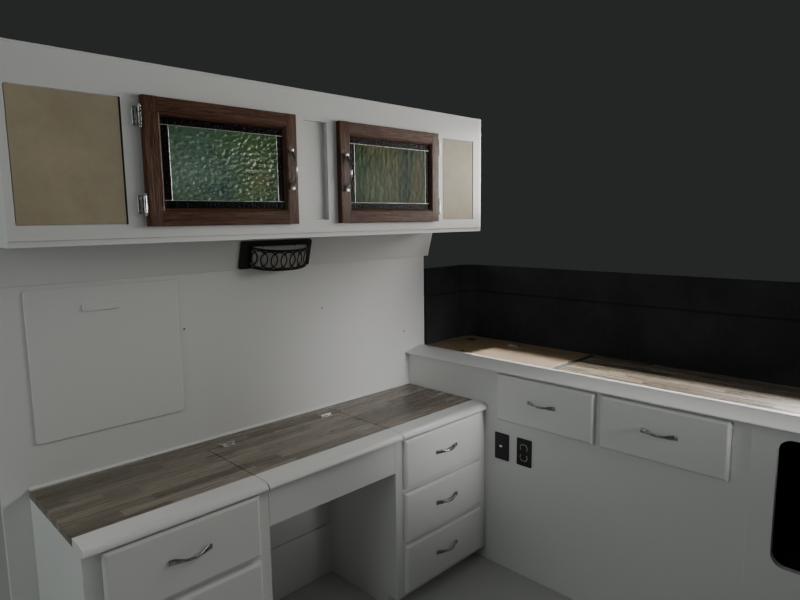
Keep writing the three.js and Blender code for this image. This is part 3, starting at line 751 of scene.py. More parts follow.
def bowPull(nodeName, alongAxis, outAxis):
    low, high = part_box(nodeName)
    along, outward = Vector(alongAxis), Vector(outAxis)
    across = outward.cross(along)
    base = (low + high) / 2 - outward * abs((high - low).dot(outward)) / 2
    widePower, thickPower = pull["sectionPowers"]
    rings = []
    for step in range(pull["steps"] + 1):
        a = pull["half"] * (-1 + 2 * step / pull["steps"])
        ahead = (pullRise(a + 0.5 * mm) - pullRise(a - 0.5 * mm)) / (1.0 * mm)
        run = (along + outward * ahead).normalized()
        rise = across.cross(run).normalized()
        if rise.dot(outward) < 0:
            rise = -rise
        tabShare = smoothStep(*pull["tabSpan"], abs(a) / pull["half"])
        wide = pull["waist"] + (pull["tabHeight"] - pull["waist"]) * tabShare
        thick = pull["thickness"] * (1.0 - pull["thinning"] * (1 - tabShare))
        spot = base + along * a + outward * pullRise(a)
        turns = [2 * math.pi * k / pull["sides"] for k in range(pull["sides"])]
        rings.append([spot + across * (wide / 2 * squared(math.cos(turn), widePower))
                      + rise * (thick / 2 * squared(math.sin(turn), thickPower)) for turn in turns])
    addPiece(nodeName + "_bow", [loftShape(rings)], pewter, bodyOfNode(nodeName), [nodeName],
             angle=50, weighted=False)


for side in ("left", "right"):
    for row in (1, 2, 3):
        drawerPieces(f"vanity_{side}_drawer_{row}")
        bowPull(f"vanity_{side}_pull_{row}", (1, 0, 0), (0, -1, 0))
for number in (1, 2):
    drawerPieces(f"side_drawer_{number}")
    bowPull(f"side_pull_{number}", (0, 1, 0), (-1, 0, 0))
for side in ("left", "right"):
    bowPull(f"{side}_door_pull", (0, 0, 1), (0, -1, 0))
print("drawers and pulls ready")


# Screws and hinge knuckles

# radius and height of the head
screwSizes = {"cap": (3.2 * mm, 1.1 * mm), "lidHinge": (2.6 * mm, 1.1 * mm), "doorHinge": (3 * mm, 1.1 * mm),
              "plate": (3 * mm, 0.8 * mm), "panel": (4 * mm, 2.4 * mm), "light": (4 * mm, 3 * mm)}


screwHead = {"below": -0.4 * mm, "rim": 0.25 * mm, "sides": 16,
             # the dome and the recess in it, as shares of the radius and of the dome's height
             "crown": [(0.8, 0.7), (0.35, 1), (0.3, 0.5), (0, 0.45)]}


def screwShape(centre, normal, size):
    radius, dome = screwSizes[size]
    profile = [(radius, screwHead["below"]), (radius, screwHead["rim"])]
    profile += [(radius * across, dome * up) for across, up in screwHead["crown"]]
    return spunShape(profile, centre, normal, screwHead["sides"])


def knuckleShape(foot, axis, length, hinge):
    radius, neck, ease = hinge["barrelRadius"], hinge["barrelRadius"] * hinge["neck"], hinge["knuckleEase"]
    profile = [(0, 0), (neck, 0), (radius, ease), (radius, length - ease), (neck, length), (0, length)]
    return spunShape(profile, foot, axis, hinge["sides"])


# Lid hinges: two leaves and a knuckled barrel over the seam

lidHinge = {"width": 50 * mm, "leafDepth": 22 * mm, "leafThickness": 1.6 * mm, "leafCorner": 3 * mm,
            "leafEdge": inMm([(0, 0.1), (0, 1.1), (0.5, 1.6)]), "leafGap": (1 * mm, 1.5 * mm),
            "barrelRadius": 3.5 * mm, "axisHeight": 4 * mm, "knuckles": 5, "knuckleGap": 0.15 * mm,
            "knuckleEase": 0.35 * mm, "neck": 0.85, "sides": 20,
            # share of half the width, distance from the pin
            "screws": [(-0.62, 14 * mm), (0, 17 * mm), (0.62, 14 * mm)]}


def lidHingePieces(nodeName, lidBody, alongAxis, backAxis, lidHeight):
    low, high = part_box(nodeName)
    along, back, up = Vector(alongAxis), Vector(backAxis), Vector((0, 0, 1))
    middle = (low + high) / 2
    edge = min(low.dot(back), high.dot(back)) + lidHinge["barrelRadius"]
    line = middle + back * (edge - middle.dot(back))  # a point on the pin's line
    line.z = lidHeight
    half = lidHinge["width"] / 2
    endGap, pinGap = lidHinge["leafGap"]

    def spot(a, b, h):
        return line + along * a + back * b + up * h

    def leaf(sign):
        near, far = sorted((sign * pinGap, sign * lidHinge["leafDepth"]))
        return panelShape((endGap - half, half - endGap), (near, far), lidHinge["leafEdge"],
                          lambda u, v, h: tuple(spot(u, v, h)), lidHinge["leafCorner"])

    def knuckle(index):
        step, gap = lidHinge["width"] / lidHinge["knuckles"], lidHinge["knuckleGap"]
        foot = spot(-half + index * step + gap, 0, lidHinge["axisHeight"])
        return knuckleShape(foot, along, step - 2 * gap, lidHinge)

    for sign, body, label, parity in ((1, "root", "fixed", 0), (-1, lidBody, "lid", 1)):
        shapes = [leaf(sign)]
        shapes += [knuckle(index) for index in range(lidHinge["knuckles"]) if index % 2 == parity]
        shapes += [screwShape(spot(half * a, sign * b, lidHinge["leafThickness"]), up, "lidHinge")
                   for a, b in lidHinge["screws"]]
        addPiece(f"{nodeName}_{label}Leaf", shapes, chrome, body,
                 [nodeName] if sign == 1 else (), angle=45)


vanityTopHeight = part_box("vanity_top")[1].z
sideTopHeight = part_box("side_top_planks")[1].z
for number in (1, 2):
    lidHingePieces(f"vanity_lid_hinge_{number}", "vanity_lid", (1, 0, 0), (0, 1, 0), vanityTopHeight)
    lidHingePieces(f"side_lid_hinge_{number}", "side_lid", (0, 1, 0), (1, 0, 0), sideTopHeight)
print("lid hinges ready")


# Locker doors: butt-jointed oak frames round leaded glass

door = {"board": 36.8 * mm, "stile": 47 * mm, "joint": 0.3 * mm, "border": 21 * mm,
        "paneThickness": 3 * mm, "paneBack": 1 * mm, "borderBack": 0.9 * mm, "borderLap": 0.8 * mm,
        "cameRadius": 1.15 * mm, "cameOut": 4.2 * mm,
        # (inset, height) rows of the frame's boards and of the moulding inside them
        "boardEdge": inMm([(0, 0), (0, 16.5), (0.9, 18.6), (3.0, 19.5), (36.2, 19.5), (36.8, 18.9),
                           (36.8, 0)]),
        "moulding": inMm([(37.1, 2.0), (37.1, 18.6), (37.9, 19.2), (39.4, 19.0), (40.2, 17.4),
                          (43.0, 16.2), (45.4, 13.6), (46.4, 11.2), (47.0, 10.2), (47.0, 2.0)])}


def frameMember(low, high, side, backY):
    # a board of the frame and its mitred length of moulding, on the side named
    middle = ((low.x + high.x) / 2, (low.z + high.z) / 2)
    upright = side in ("left", "right")
    sign = 1 if side in ("left", "bottom") else -1
    start = {"left": low.x, "right": high.x, "bottom": low.z, "top": high.z}[side]
    shapes = []
    for profile, square in ((door["boardEdge"], True), (door["moulding"], False)):
        rings = []
        for end in (-1, 1):
            ring = []
            for inset, height in profile:
                if upright:
                    reach = (high.z - low.z) / 2 - (0.0 if square else inset)
                    ring.append((start + sign * inset, backY - height, middle[1] + end * reach))
                else:
                    reach = (high.x - low.x) / 2
                    reach -= door["board"] + door["joint"] if square else inset
                    ring.append((middle[0] + end * reach, backY - height, start + sign * inset))
            rings.append(ring)
        shapes.append(loftShape(rings))
    return shapes


glassWave = {"fineShare": 0.35, "fineScale": 2.3}


def castSheet(across, up, y, cast, seedShift):  # a glass sheet whose front is cast in low ripples
    (x0, x1), (z0, z1) = across, up
    columns = max(2, round((x1 - x0) / cast["step"]))
    rows = max(2, round((z1 - z0) / cast["step"]))
    verts, faces, back = [], [], []
    for r in range(rows + 1):
        for c in range(columns + 1):
            x, z = x0 + (x1 - x0) * c / columns, z0 + (z1 - z0) * r / rows
            place = Vector((x / cast["sizeX"], seedShift, z / cast["sizeZ"]))
            wave = noise.noise(place) + glassWave["fineShare"] * noise.noise(place * glassWave["fineScale"])
            verts.append((x, y - door["paneThickness"] - cast["height"] * wave, z))
    width = columns + 1
    for r in range(rows):
        for c in range(columns):
            a = r * width + c
            faces.append([a, a + 1, a + width + 1, a + width])
    rim = list(range(columns)) + [r * width + columns for r in range(rows)]
    rim += [rows * width + c for c in range(columns, 0, -1)] + [r * width for r in range(rows, 0, -1)]
    first = len(verts)
    for a in rim:
        verts.append((verts[a][0], y, verts[a][2]))
    for index, a in enumerate(rim):
        following = (index + 1) % len(rim)
        faces.append([a, first + index, first + following, rim[following]])
        back.append(first + index)
    faces.append(back)
    return verts, faces


# Places on a pane run from 0 to 1 across and up. A patch is a place, reach, colour and share,
# a glint a place, reach and strength, the run a row of colours across
panes = {
    "left": {
        "cast": {"step": 2.0 * mm, "sizeX": 12 * mm, "sizeZ": 9 * mm, "height": 1.3 * mm},
        "streaks": (7.0, 4.0), "waver": 0.5, "roughness": 0.07, "gloss": 0.25,
        "run": [(0.0, (0.110, 0.215, 0.115)), (0.3, (0.115, 0.230, 0.150)), (0.6, (0.135, 0.235, 0.100)),
                (0.85, (0.120, 0.215, 0.090)), (1.0, (0.070, 0.150, 0.060))],
        "patches": [((0.12, 0.40), 0.55, (0.290, 0.410, 0.330), 0.8),
                    ((0.42, 0.10), 0.22, (0.075, 0.140, 0.150), 0.85),
                    ((0.80, 0.30), 0.20, (0.300, 0.270, 0.090), 0.4)],
        "shade": 0.3, "ripple": (70.0, 120.0), "rippleShade": 0.4,
        "glint": ((0.66, 0.52), 0.36, 1.0),
    },
    "right": {
        "cast": {"step": 2.4 * mm, "sizeX": 13 * mm, "sizeZ": 22 * mm, "height": 0.5 * mm},
        "streaks": (30.0, 2.2), "waver": 0.16, "roughness": 0.12, "gloss": 0.02,
        "run": [(0.0, (0.030, 0.086, 0.030)), (0.14, (0.074, 0.130, 0.040)), (0.34, (0.105, 0.160, 0.062)),
                (0.50, (0.148, 0.150, 0.042)), (0.60, (0.064, 0.106, 0.034)), (0.68, (0.004, 0.036, 0.018)),
                (0.76, (0.042, 0.088, 0.026)), (0.86, (0.140, 0.122, 0.030)), (1.0, (0.058, 0.096, 0.024))],
        "patches": [((0.28, 0.98), 0.30, (0.230, 0.165, 0.040), 0.6),
                    ((0.34, 0.25), 0.36, (0.160, 0.220, 0.110), 0.6)],
        "shade": 0.9, "ripple": (90.0, 16.0), "rippleShade": 0.55,
        "glint": ((0.34, 0.25), 0.4, 0.04),
    },
}
paneFinish = {"streak": (0.012, 0.026, 0.012), "streakSpan": (0.3, 0.7), "vein": (0.010, 0.026, 0.014),
              "veinSpan": (0.5, 0.64), "transmission": 0.12, "grainScale": 240.0, "relief": (0.0006, 0.4)}


def paneMaterial(name, values, low, high):
    # colours drift over the pane, so its box is mapped to 0..1 each way
    material, tree, shader = newMaterial(name)
    source = ownPlace(tree)
    size = high - low
    spread = (1 / size.x, 1.0, 1 / size.z)
    place = addShaderNode(tree, "ShaderNodeMapping", {
        "Vector": source, "Scale": spread, "Location": (-low.x * spread[0], 0.0, -low.z * spread[2]),
    }).outputs[0]
    drift = useGroup(tree, castGlass, {
        "Vector": place, "Streak Across": values["streaks"][0], "Streak Along": values["streaks"][1],
        "Waver": values["waver"],
    })
    color = rampNode(tree, drift["Across"], values["run"])
    spot = addShaderNode(tree, "ShaderNodeCombineXYZ", {"X": drift["Across"], "Z": drift["Up"]}).outputs[0]

    def nearness(place, reach, strength):
        gap = vectorNode(tree, "DISTANCE", spot, (place[0], 0.0, place[1]))["Value"]
        return spanNode(tree, gap, 0.0, reach, strength, 0.0)

    for patchPlace, reach, patch, strength in values["patches"]:
        color = mixColor(tree, nearness(patchPlace, reach, strength), color, patch)
    streak = spanNode(tree, drift["Streak"], *paneFinish["streakSpan"])
    color = mixColor(tree, mathNode(tree, "MULTIPLY", streak, values["shade"]), color, paneFinish["streak"])
    across, up = values["ripple"]
    ripple = noiseNode(tree, scaledVector(tree, source, (across, across, up)), 1.0, 2.0, 0.5, 0.8)
    vein = spanNode(tree, ripple, *paneFinish["veinSpan"], 0.0, values["rippleShade"])
    plug(tree, shader.inputs, {
        "Base Color": mixColor(tree, vein, color, paneFinish["vein"]), "Roughness": values["roughness"],
        "Transmission Weight": paneFinish["transmission"], "Specular IOR Level": values["gloss"],
        "Coat Weight": nearness(*values["glint"]), "Coat Roughness": values["roughness"],
    })
    bumpFrom(tree, shader, noiseNode(tree, source, paneFinish["grainScale"], 2.0), paneFinish["relief"])
    return material


borderCast = {"step": 1.7 * mm, "sizeX": 4.2 * mm, "sizeZ": 4.2 * mm, "height": 1.0 * mm}


def doorPieces(side, seedShift):
    body = f"{side}_door"
    low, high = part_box(f"{side}_door_frame")
    for label, sides, oakFinish in (("stiles", ("left", "right"), oakUpright),
                                    ("rails", ("bottom", "top"), oakCross)):
        shapes = [shape for edge in sides for shape in frameMember(low, high, edge, high.y)]
        addPiece(f"{side}_door_{label}", shapes, oakFinish, body,
                 [f"{side}_door_frame"] if label == "stiles" else (), angle=30)

    glassLow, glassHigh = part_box(f"{side}_door_glass")
    inset = door["stile"] + door["border"]
    x0, x1, z0, z1 = low.x + inset, high.x - inset, low.z + inset, high.z - inset
    y = glassHigh.y
    material = paneMaterial(f"{side}PaneGlass", panes[side], Vector((x0, 0, z0)), Vector((x1, 0, z1)))
    pane = castSheet((x0, x1), (z0, z1), y - door["paneBack"], panes[side]["cast"], seedShift)
    addPiece(f"{side}_door_pane", [pane], material, body, [f"{side}_door_glass"],
             angle=60, weighted=False)
    lap = door["borderLap"]
    whole, upright = (glassLow.x, glassHigh.x), (z0 - lap, z1 + lap)
    strips = [(whole, (glassLow.z, z0)), (whole, (z1, glassHigh.z)),
              ((glassLow.x + lap, x0), upright), ((x1, glassHigh.x - lap), upright)]
    shapes = [castSheet(across, up, y - door["borderBack"], borderCast, seedShift + 3)
              for across, up in strips]
    addPiece(f"{side}_door_glassBorder", shapes, borderGlass, body, angle=60,
             weighted=False)

    front = y - door["cameOut"]
    sightX = (low.x + door["stile"], high.x - door["stile"])
    lines = [[(x, front, z) for x in sightX] for z in (z0, z1)]
    lines += [[(x, front, z) for z in (z0, z1)] for x in (x0, x1)]
    addPiece(f"{side}_door_cames", [tubeShape(line, door["cameRadius"], 8) for line in lines], leadCame,
             body, angle=60, weighted=False)


faceHinge = {
    "barrelRadius": 4.2 * mm, "barrelLength": 44 * mm, "knuckleGap": 0.2 * mm, "knuckleEase": 0.5 * mm,
    "neck": 0.86, "sides": 22, "axisOut": 15 * mm, "pinInset": 4.5 * mm,
    "leafWidth": 14.5 * mm, "leafLength": 50 * mm, "leafThickness": 3 * mm, "leafCorner": 5 * mm,
    "leafEdge": inMm([(0, 0.3), (0, 1.6), (0.8, 2.6), (2, 3.0)]), "pinGap": 3 * mm,
    "screw": (9.5 * mm, 15 * mm),  # from the pin, and from the leaf's middle
    "fixedArm": 2 * mm, "doorArm": 1.6 * mm, "armEnd": 1 * mm, "armOffFace": 0.4 * mm,
    "armInset": 0.2 * mm, "armEase": (0.6 * mm, 0.5 * mm),
    "plate": 1.4 * mm, "plateInset": (2.5 * mm, 1.5 * mm), "plateEase": 0.5 * mm,
    # the pin's turned ends: share of the barrel's radius, height in mm
    "finial": [(0, 0), (0.95, 0.2), (1, 1.2), (0.55, 2.2), (0.5, 2.8), (0.82, 4.2), (0.9, 5.6),
               (0.7, 7.2), (0.35, 8.6), (0, 10.2)],
}


def faceHingePieces(nodeName, side):
    low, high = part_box(nodeName)
    sign = -1 if side == "left" else 1
    doorLow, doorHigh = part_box(f"{side}_door_frame")
    edgeX = doorLow.x if side == "left" else doorHigh.x
    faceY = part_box("locker_case")[0].y
    pinX = (high.x if side == "left" else low.x) + sign * faceHinge["pinInset"]
    pinY = faceY - faceHinge["axisOut"]
    z = (low.z + high.z) / 2
    barrel, halfTall = faceHinge["barrelLength"], faceHinge["leafLength"] / 2
    inner, outer, end = barrel / 6, barrel / 2, faceHinge["armEnd"]

    def knuckle(z0, z1):
        gap = faceHinge["knuckleGap"]
        return knuckleShape((pinX, pinY, z + z0 + gap), (0, 0, 1), z1 - z0 - 2 * gap, faceHinge)

    shapes = [knuckle(-outer, -inner), knuckle(inner, outer)]
    profile = [(share * faceHinge["barrelRadius"], height * mm) for share, height in faceHinge["finial"]]
    for direction in (-1, 1):
        shapes.append(spunShape(profile, (pinX, pinY, z + direction * outer), (0, 0, direction),
                                faceHinge["sides"]))
    leafX = sorted((pinX + sign * faceHinge["pinGap"], pinX + sign * faceHinge["leafWidth"]))
    shapes.append(panelShape(leafX, (z - halfTall, z + halfTall), faceHinge["leafEdge"],
                             facingFront(faceY), faceHinge["leafCorner"]))
    wide, offFace = faceHinge["fixedArm"], faceHinge["armOffFace"]
    fixedEase, doorEase = faceHinge["armEase"]
    for z0, z1 in ((-outer, -inner), (inner, outer)):  # the fixed knuckles' arms, down to the leaf
        shapes.append(boardShape((pinX - wide, pinY, z + z0 + end),
                                 (pinX + wide, faceY - offFace, z + z1 - end), fixedEase))
    screwX, screwZ = faceHinge["screw"]
    for direction in (-1, 1):
        spot = (pinX + sign * screwX, faceY - faceHinge["leafThickness"], z + direction * screwZ)
        shapes.append(screwShape(spot, (0, -1, 0), "doorHinge"))
    addPiece(nodeName + "_fixedLeaf", shapes, chrome, "root", [nodeName], angle=45)

    plateX = sorted((edgeX, edgeX + sign * faceHinge["plate"]))
    frontInset, backInset = faceHinge["plateInset"]
    edgePlate = boardShape((plateX[0], doorLow.y + frontInset, z - halfTall),
                           (plateX[1], doorHigh.y - backInset, z + halfTall), faceHinge["plateEase"])
    wide, inset = faceHinge["doorArm"], faceHinge["armInset"]
    arm = boardShape((min(edgeX, pinX) + inset, pinY - wide, z - inner + end),
                     (max(edgeX, pinX) - inset, pinY + wide, z + inner - end), doorEase)
    addPiece(nodeName + "_doorLeaf", [knuckle(-inner, inner), edgePlate, arm], chrome, f"{side}_door",
             angle=45)


for side, seedShift in (("left", 0.7), ("right", 2.9)):
    doorPieces(side, seedShift)
    for number in (1, 2):
        faceHingePieces(f"{side}_door_hinge_{number}", side)
print("locker doors ready")


# Wall light: half drum with interlocking rings

plateLow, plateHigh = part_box("wall_light_plate")
drumLow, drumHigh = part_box("wall_light_lattice")
wallLight = {
    "halfWidth": 124 * mm, "reach": 66 * mm, "drum": (12 * mm, 92 * mm), "lean": math.atan2(34, 120),
    "bandInset": 6 * mm, "plate": (4 * mm, 108 * mm), "plateThickness": 12 * mm, "plateCorner": 6 * mm,
    "plateEdge": inMm([(0, 0.3), (0, 8), (1, 10.6), (3.5, 11.9)]),
    "rimHeight": 7 * mm, "rimWidth": 5 * mm, "rimEase": 0.8 * mm, "rimSteps": 64,
    "pitches": 8, "ringOuter": 33.5 * mm, "ringInner": 29 * mm, "ringThickness": 3 * mm,
    "ringEase": 0.6 * mm, "ringSteps": 48, "weave": 0.35 * mm,
    "coverSteps": 60, "coverTop": 89 * mm,
    # (height, depth inside the drum's skin) rows of the frosted cover
    "cover": inMm([(13, 9), (14, 7), (87.4, 7), (88.6, 7.6), (89, 9)]),
    "screwsX": (-76 * mm, 62 * mm), "screwsOut": 22 * mm,
}
lightMiddle = (drumLow.x + drumHigh.x) / 2
bandFoot = Vector((lightMiddle, corner.y - wallLight["bandInset"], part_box("upper_band")[0].z))
lightTurn = Matrix.Rotation(wallLight["lean"], 3, "X")


def onLight(x, out, up):  # along the wall, off the plate's back, up the leaning band
    return bandFoot + lightTurn @ Vector((x, -out, up))


def drumPoint(turn, inset, up):
    x = (wallLight["halfWidth"] - inset) * math.cos(turn)
    out = wallLight["plateThickness"] + (wallLight["reach"] - inset) * math.sin(turn)
    return onLight(x, out, up)


def drumRun(fine=400):  # turns about the drum, with the length of skin up to each
    turns = [math.pi * k / fine for k in range(fine + 1)]
    lengths = [0.0]
    for k in range(1, fine + 1):
        lengths.append(lengths[-1] + (drumPoint(turns[k], 0, 0) - drumPoint(turns[k - 1], 0, 0)).length)
    return turns, lengths


def turnAt(length, turns, lengths):
    length = min(max(length, 0.0), lengths[-1])
    for k in range(1, len(lengths)):
        if lengths[k] >= length:
            share = (length - lengths[k - 1]) / (lengths[k] - lengths[k - 1])
            return turns[k - 1] + (turns[k] - turns[k - 1]) * share
    return turns[-1]


def rimShapes():  # the drum's bottom and top rims
    low, high = wallLight["drum"]
    tall, deep, ease = (wallLight[key] for key in ("rimHeight", "rimWidth", "rimEase"))
    steps = wallLight["rimSteps"]
    shapes = []
    for z0, z1 in ((low, low + tall), (high - tall, high)):
        section = [(0, z0 + ease), (0, z1 - ease), (ease, z1), (deep - ease, z1), (deep, z1 - ease),
                   (deep, z0 + ease), (deep - ease, z0), (ease, z0)]
        shapes.append(loftShape([[drumPoint(math.pi * k / steps, inset, z) for inset, z in section]
                                 for k in range(steps + 1)]))
    return shapes


def ringShapes():  # rings a pitch apart, with a half ring at each end of the drum
    middle = sum(wallLight["drum"]) / 2
    turns, lengths = drumRun()
    inner, outer, thick, ease = (wallLight[key] for key in (
        "ringInner", "ringOuter", "ringThickness", "ringEase"))
    count = wallLight["pitches"]
    shapes = []
    for ring in range(count + 1):
        centre = lengths[-1] * ring / count
        lift = wallLight["weave"] if ring % 2 else 0.0  # every other ring lies a little deeper
        section = [(inner + ease, lift), (outer - ease, lift), (outer, lift + ease), (outer, thick - ease),
                   (outer - ease, thick), (inner + ease, thick), (inner, thick - ease), (inner, lift + ease)]
        whole = 0 < ring < count
        first = 0.0 if whole else (-math.pi / 2 if ring == 0 else math.pi / 2)
        steps = wallLight["ringSteps"] if whole else wallLight["ringSteps"] // 2
        reach = 2 * math.pi if whole else math.pi
        rings = []
        for k in range(steps if whole else steps + 1):
            angle = first + reach * k / steps
            rings.append([drumPoint(turnAt(centre + radius * math.cos(angle), turns, lengths), inset,
                                    middle + radius * math.sin(angle)) for radius, inset in section])
        shapes.append(loftShape(rings, closed=whole))
    return shapes


def lightPieces():
    half = (plateHigh.x - plateLow.x) / 2
    middle = (plateLow.x + plateHigh.x) / 2 - lightMiddle
    plate = panelShape((middle - half, middle + half), wallLight["plate"], wallLight["plateEdge"],
                       lambda u, v, h: tuple(onLight(u, h, v)), wallLight["plateCorner"])
    addPiece("wallLightPlate", [plate], darkBronze, "root", ["wall_light_plate"],
             angle=45)
    addPiece("wallLightLattice", rimShapes() + ringShapes(), darkBronze, "root",
             ["wall_light_lattice"], angle=40, weighted=False)

    steps = wallLight["coverSteps"]
    rings = [[drumPoint(math.pi * k / steps, depth, z) for k in range(steps + 1)]
             for z, depth in wallLight["cover"]]
    addPiece("wallLightCover", [loftShape(rings)], frostedCover, "root",
             ["wall_light_diffuser"], angle=40)
    screws = [screwShape(onLight(x, wallLight["screwsOut"], wallLight["coverTop"]),
                         lightTurn @ Vector((0, 0, 1)), "light") for x in wallLight["screwsX"]]
    addPiece("wallLightScrews", screws, chrome, "root", angle=45)


lightPieces()
print("wall light ready")


# Lining of the corner: one bent sheet with a seam and a turned top edge

lining = {"inset": 12 * mm, "thickness": 11.7 * mm, "frontRun": 40 * mm, "corner": 60 * mm, "steps": 16,
          "seamDepth": 2.6 * mm, "belowSeam": 7 * mm, "aboveSeam": 2 * mm, "topTurn": (2 * mm, 1.5 * mm)}
# black sheets inside the round-cornered opening, in mm from the inner corner
opening = {"room": ((18.4, 433.4), (-1964.4, -1427.6), (408.4, 847.4)), "sheet": 1.6, "let": 0.5,
           "ease": 0.4 * mm}


def cornerLining():
    low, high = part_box("niche_lining")
    inner = high.x - lining["inset"]
    front = high.y + jointGap - lining["inset"]
    radius, steps = lining["corner"], lining["steps"]
    path = [Vector((low.x, front, 0)), Vector((low.x + lining["frontRun"], front, 0))]
    for k in range(steps + 1):
        turn = math.pi / 2 - math.pi / 2 * k / steps
        path.append(Vector((inner - radius + radius * math.cos(turn),
                            front - radius + radius * math.sin(turn), 0)))
    path.append(Vector((inner, low.y, 0)))
    outwards = []
    for index in range(len(path)):
        ahead = (path[min(index + 1, len(path) - 1)] - path[max(index - 1, 0)]).normalized()
        outwards.append(Vector((-ahead.y, ahead.x, 0)))
    seam = felt["seamHeight"]
    topHeight, topInset = lining["topTurn"]
    levels = [(low.z, 0.0), (seam - lining["belowSeam"], 0.0), (seam, lining["seamDepth"]),
              (seam + lining["aboveSeam"], 0.0), (high.z - topHeight, 0.0), (high.z, topInset)]
    rings = []
    for z, inset in levels:
        near = [point + outward * inset + Vector((0, 0, z)) for point, outward in zip(path, outwards)]
        far = [point + outward * (lining["thickness"] - inset * 0.5) + Vector((0, 0, z))
               for point, outward in zip(path, outwards)]
        rings.append(near + far[::-1])
    addPiece("cornerLining", [loftShape(rings)], blackLining, "root", ["niche_lining"],
             angle=40)


# black sheets that make the inside of the opening dark
def openingBlackSheets():
    (x0, x1), (y0, y1), (z0, z1) = opening["room"]
    sheet, let = opening["sheet"], opening["let"]
    upright = (z0 + sheet - let, z1 - sheet + let)
    deep = (x0 + let, x1 - sheet + let)
    sheets = [((x0, x1), (y0, y1), (z0, z0 + sheet)), ((x0, x1), (y0, y1), (z1 - sheet, z1)),
              ((x1 - sheet, x1 - let), (y0 + let, y1 - let), upright),
              (deep, (y0 + let, y0 + sheet), upright), (deep, (y1 - sheet, y1 - let), upright)]
    shapes = []
    for spans in sheets:
        near, far = zip(*spans)
        shapes.append(boardShape(at(*near), at(*far), opening["ease"]))
    addPiece("openingBlackSheets", shapes, blackLining, "root")


cornerLining()
openingBlackSheets()
print("lining ready")


# Wall plates: a small switch and a pair of sockets

wallPlate = {
    "edge": inMm([(0, 0.3), (0, 2.6), (1.2, 4.2), (3.5, 5.0)]), "corner": 4 * mm, "thickness": 5 * mm,
    "switchScrew": 30 * mm, "collar": (6 * mm, 13 * mm), "collarCorner": 1.5 * mm,
    "collarEdge": inMm([(0, 4.8), (0, 5.6), (0.6, 6.2)]),
    # the toggle's sections: out, up, half width and half height
    "toggle": inMm([(6, 2, 4.2, 4.6), (15, 5, 3.6, 3.4), (16.5, 5.6, 2.8, 2.4)]),
    "outletGap": 19.5 * mm, "outletRadius": 16.5 * mm, "outletFlats": (-0.62, 0.86),
    "outletRise": [(4.8 * mm, 0.95), (6.0 * mm, 0.95), (6.6 * mm, 0.91)],  # height, share of the outline
    # painted highlight round each socket's outline: how far out, and the tube's radius
    "outletHighlightRim": (5.4 * mm, 0.75 * mm),
}


def outletOutline(y, z, turn):  # a D-shaped outline, flat towards the plate's middle
    radius = wallPlate["outletRadius"]
    flat, crown = (share * radius for share in wallPlate["outletFlats"])
    angles = [math.radians(-38 + 256 * k / 20) for k in range(21)]
    return [(y + radius * math.cos(angle), z + turn * min(max(radius * math.sin(angle), flat), crown))
            for angle in angles]


def wallPlateShapes(nodeName, plane):  # dark shapes, and pale shapes: the switch's toggle, and a pale rim round each socket that is a painted highlight
    low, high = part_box(nodeName)
    y, z = (low.y + high.y) / 2, (low.z + high.z) / 2
    face = plane - wallPlate["thickness"]
    dark = [panelShape((low.y, high.y), (low.z, high.z), wallPlate["edge"], facingLeft(plane),
                       wallPlate["corner"])]
    if nodeName == "side_switch_plate":
        for rise in (wallPlate["switchScrew"], -wallPlate["switchScrew"]):
            dark.append(screwShape((face, y, z + rise), (-1, 0, 0), "plate"))
        wide, tall = wallPlate["collar"]
        dark.append(panelShape((y - wide, y + wide), (z - tall, z + tall), wallPlate["collarEdge"],
                               facingLeft(plane), wallPlate["collarCorner"]))
        corners = ((-1, -1), (1, -1), (1, 1), (-1, 1))
        return dark, [loftShape([[(plane - out, y + a * wide, z + lift + b * tall) for a, b in corners]
                                 for out, lift, wide, tall in wallPlate["toggle"]])]
    dark.append(screwShape((face, y, z), (-1, 0, 0), "plate"))
    toggleAndHighlights = []
    highlightOut, highlightRadius = wallPlate["outletHighlightRim"]
    for turn in (-1, 1):
        middle = z + turn * wallPlate["outletGap"]
        outline = outletOutline(y, middle, turn)
        dark.append(loftShape([[(plane - out, y + (a - y) * share, middle + (b - middle) * share)
                                for a, b in outline] for out, share in wallPlate["outletRise"]]))
        # painted highlight: a pale tube along each socket's outline
        toggleAndHighlights.append(tubeShape([(plane - highlightOut, a, b) for a, b in outline], highlightRadius, 6))
    return dark, toggleAndHighlights


for nodeName in ("side_switch_plate", "side_socket_plate"):
    dark, toggleAndHighlights = wallPlateShapes(nodeName, sideCaseLow.x)
    addPiece(nodeName + "_moulded", dark, blackPlastic, "root", [nodeName], angle=45)
    addPiece(nodeName + "_toggleAndHighlightRims", toggleAndHighlights, paleToggleAndHighlightPlastic, "root", angle=35)
print("wall plates ready")


# Small trim and fixings. Screws and the latch are placed in mm from the inner corner

trim = {
    "bead": 7 * mm, "beadSteps": 6, "beadLift": 0.2 * mm, "crownEnd": 25 * mm,
    "crown": inMm([(0, 0), (1.2, 0), (2, 0.6), (2, 5.7), (1, 6.5), (0, 6.5)]),  # proud, down
    "kneeScrews": [(-552, 201, 0), (-545, 21, 3), (-1050, 201, 0), (-1050, 21, 3)],  # x, height, out
    "panelScrews": [(-1089, 1112), (-499, 1118), (-26, 955)], "screwSeat": 0.2,
    "latch": (118, -233), "latchSides": 28,
    "latchRing": inMm([(11, 0), (11, 1.0), (9.5, 1.6), (8, 1.0), (7.6, 0.3), (0, 0.3)]),
    # dark strips: how far inside (or past) the faces they lie between, in mm, and their eased edge
    "topJoint": inMm([(0.3, 0.3, 0.2), (-14, -0.4, -1.5)]), "topEase": 1 * mm,
    "insertGapShadow": inMm([(0.4, 0.8, -1.5), (4.8, 0.1, 1.5)]), "insertEase": 0.4 * mm,
}


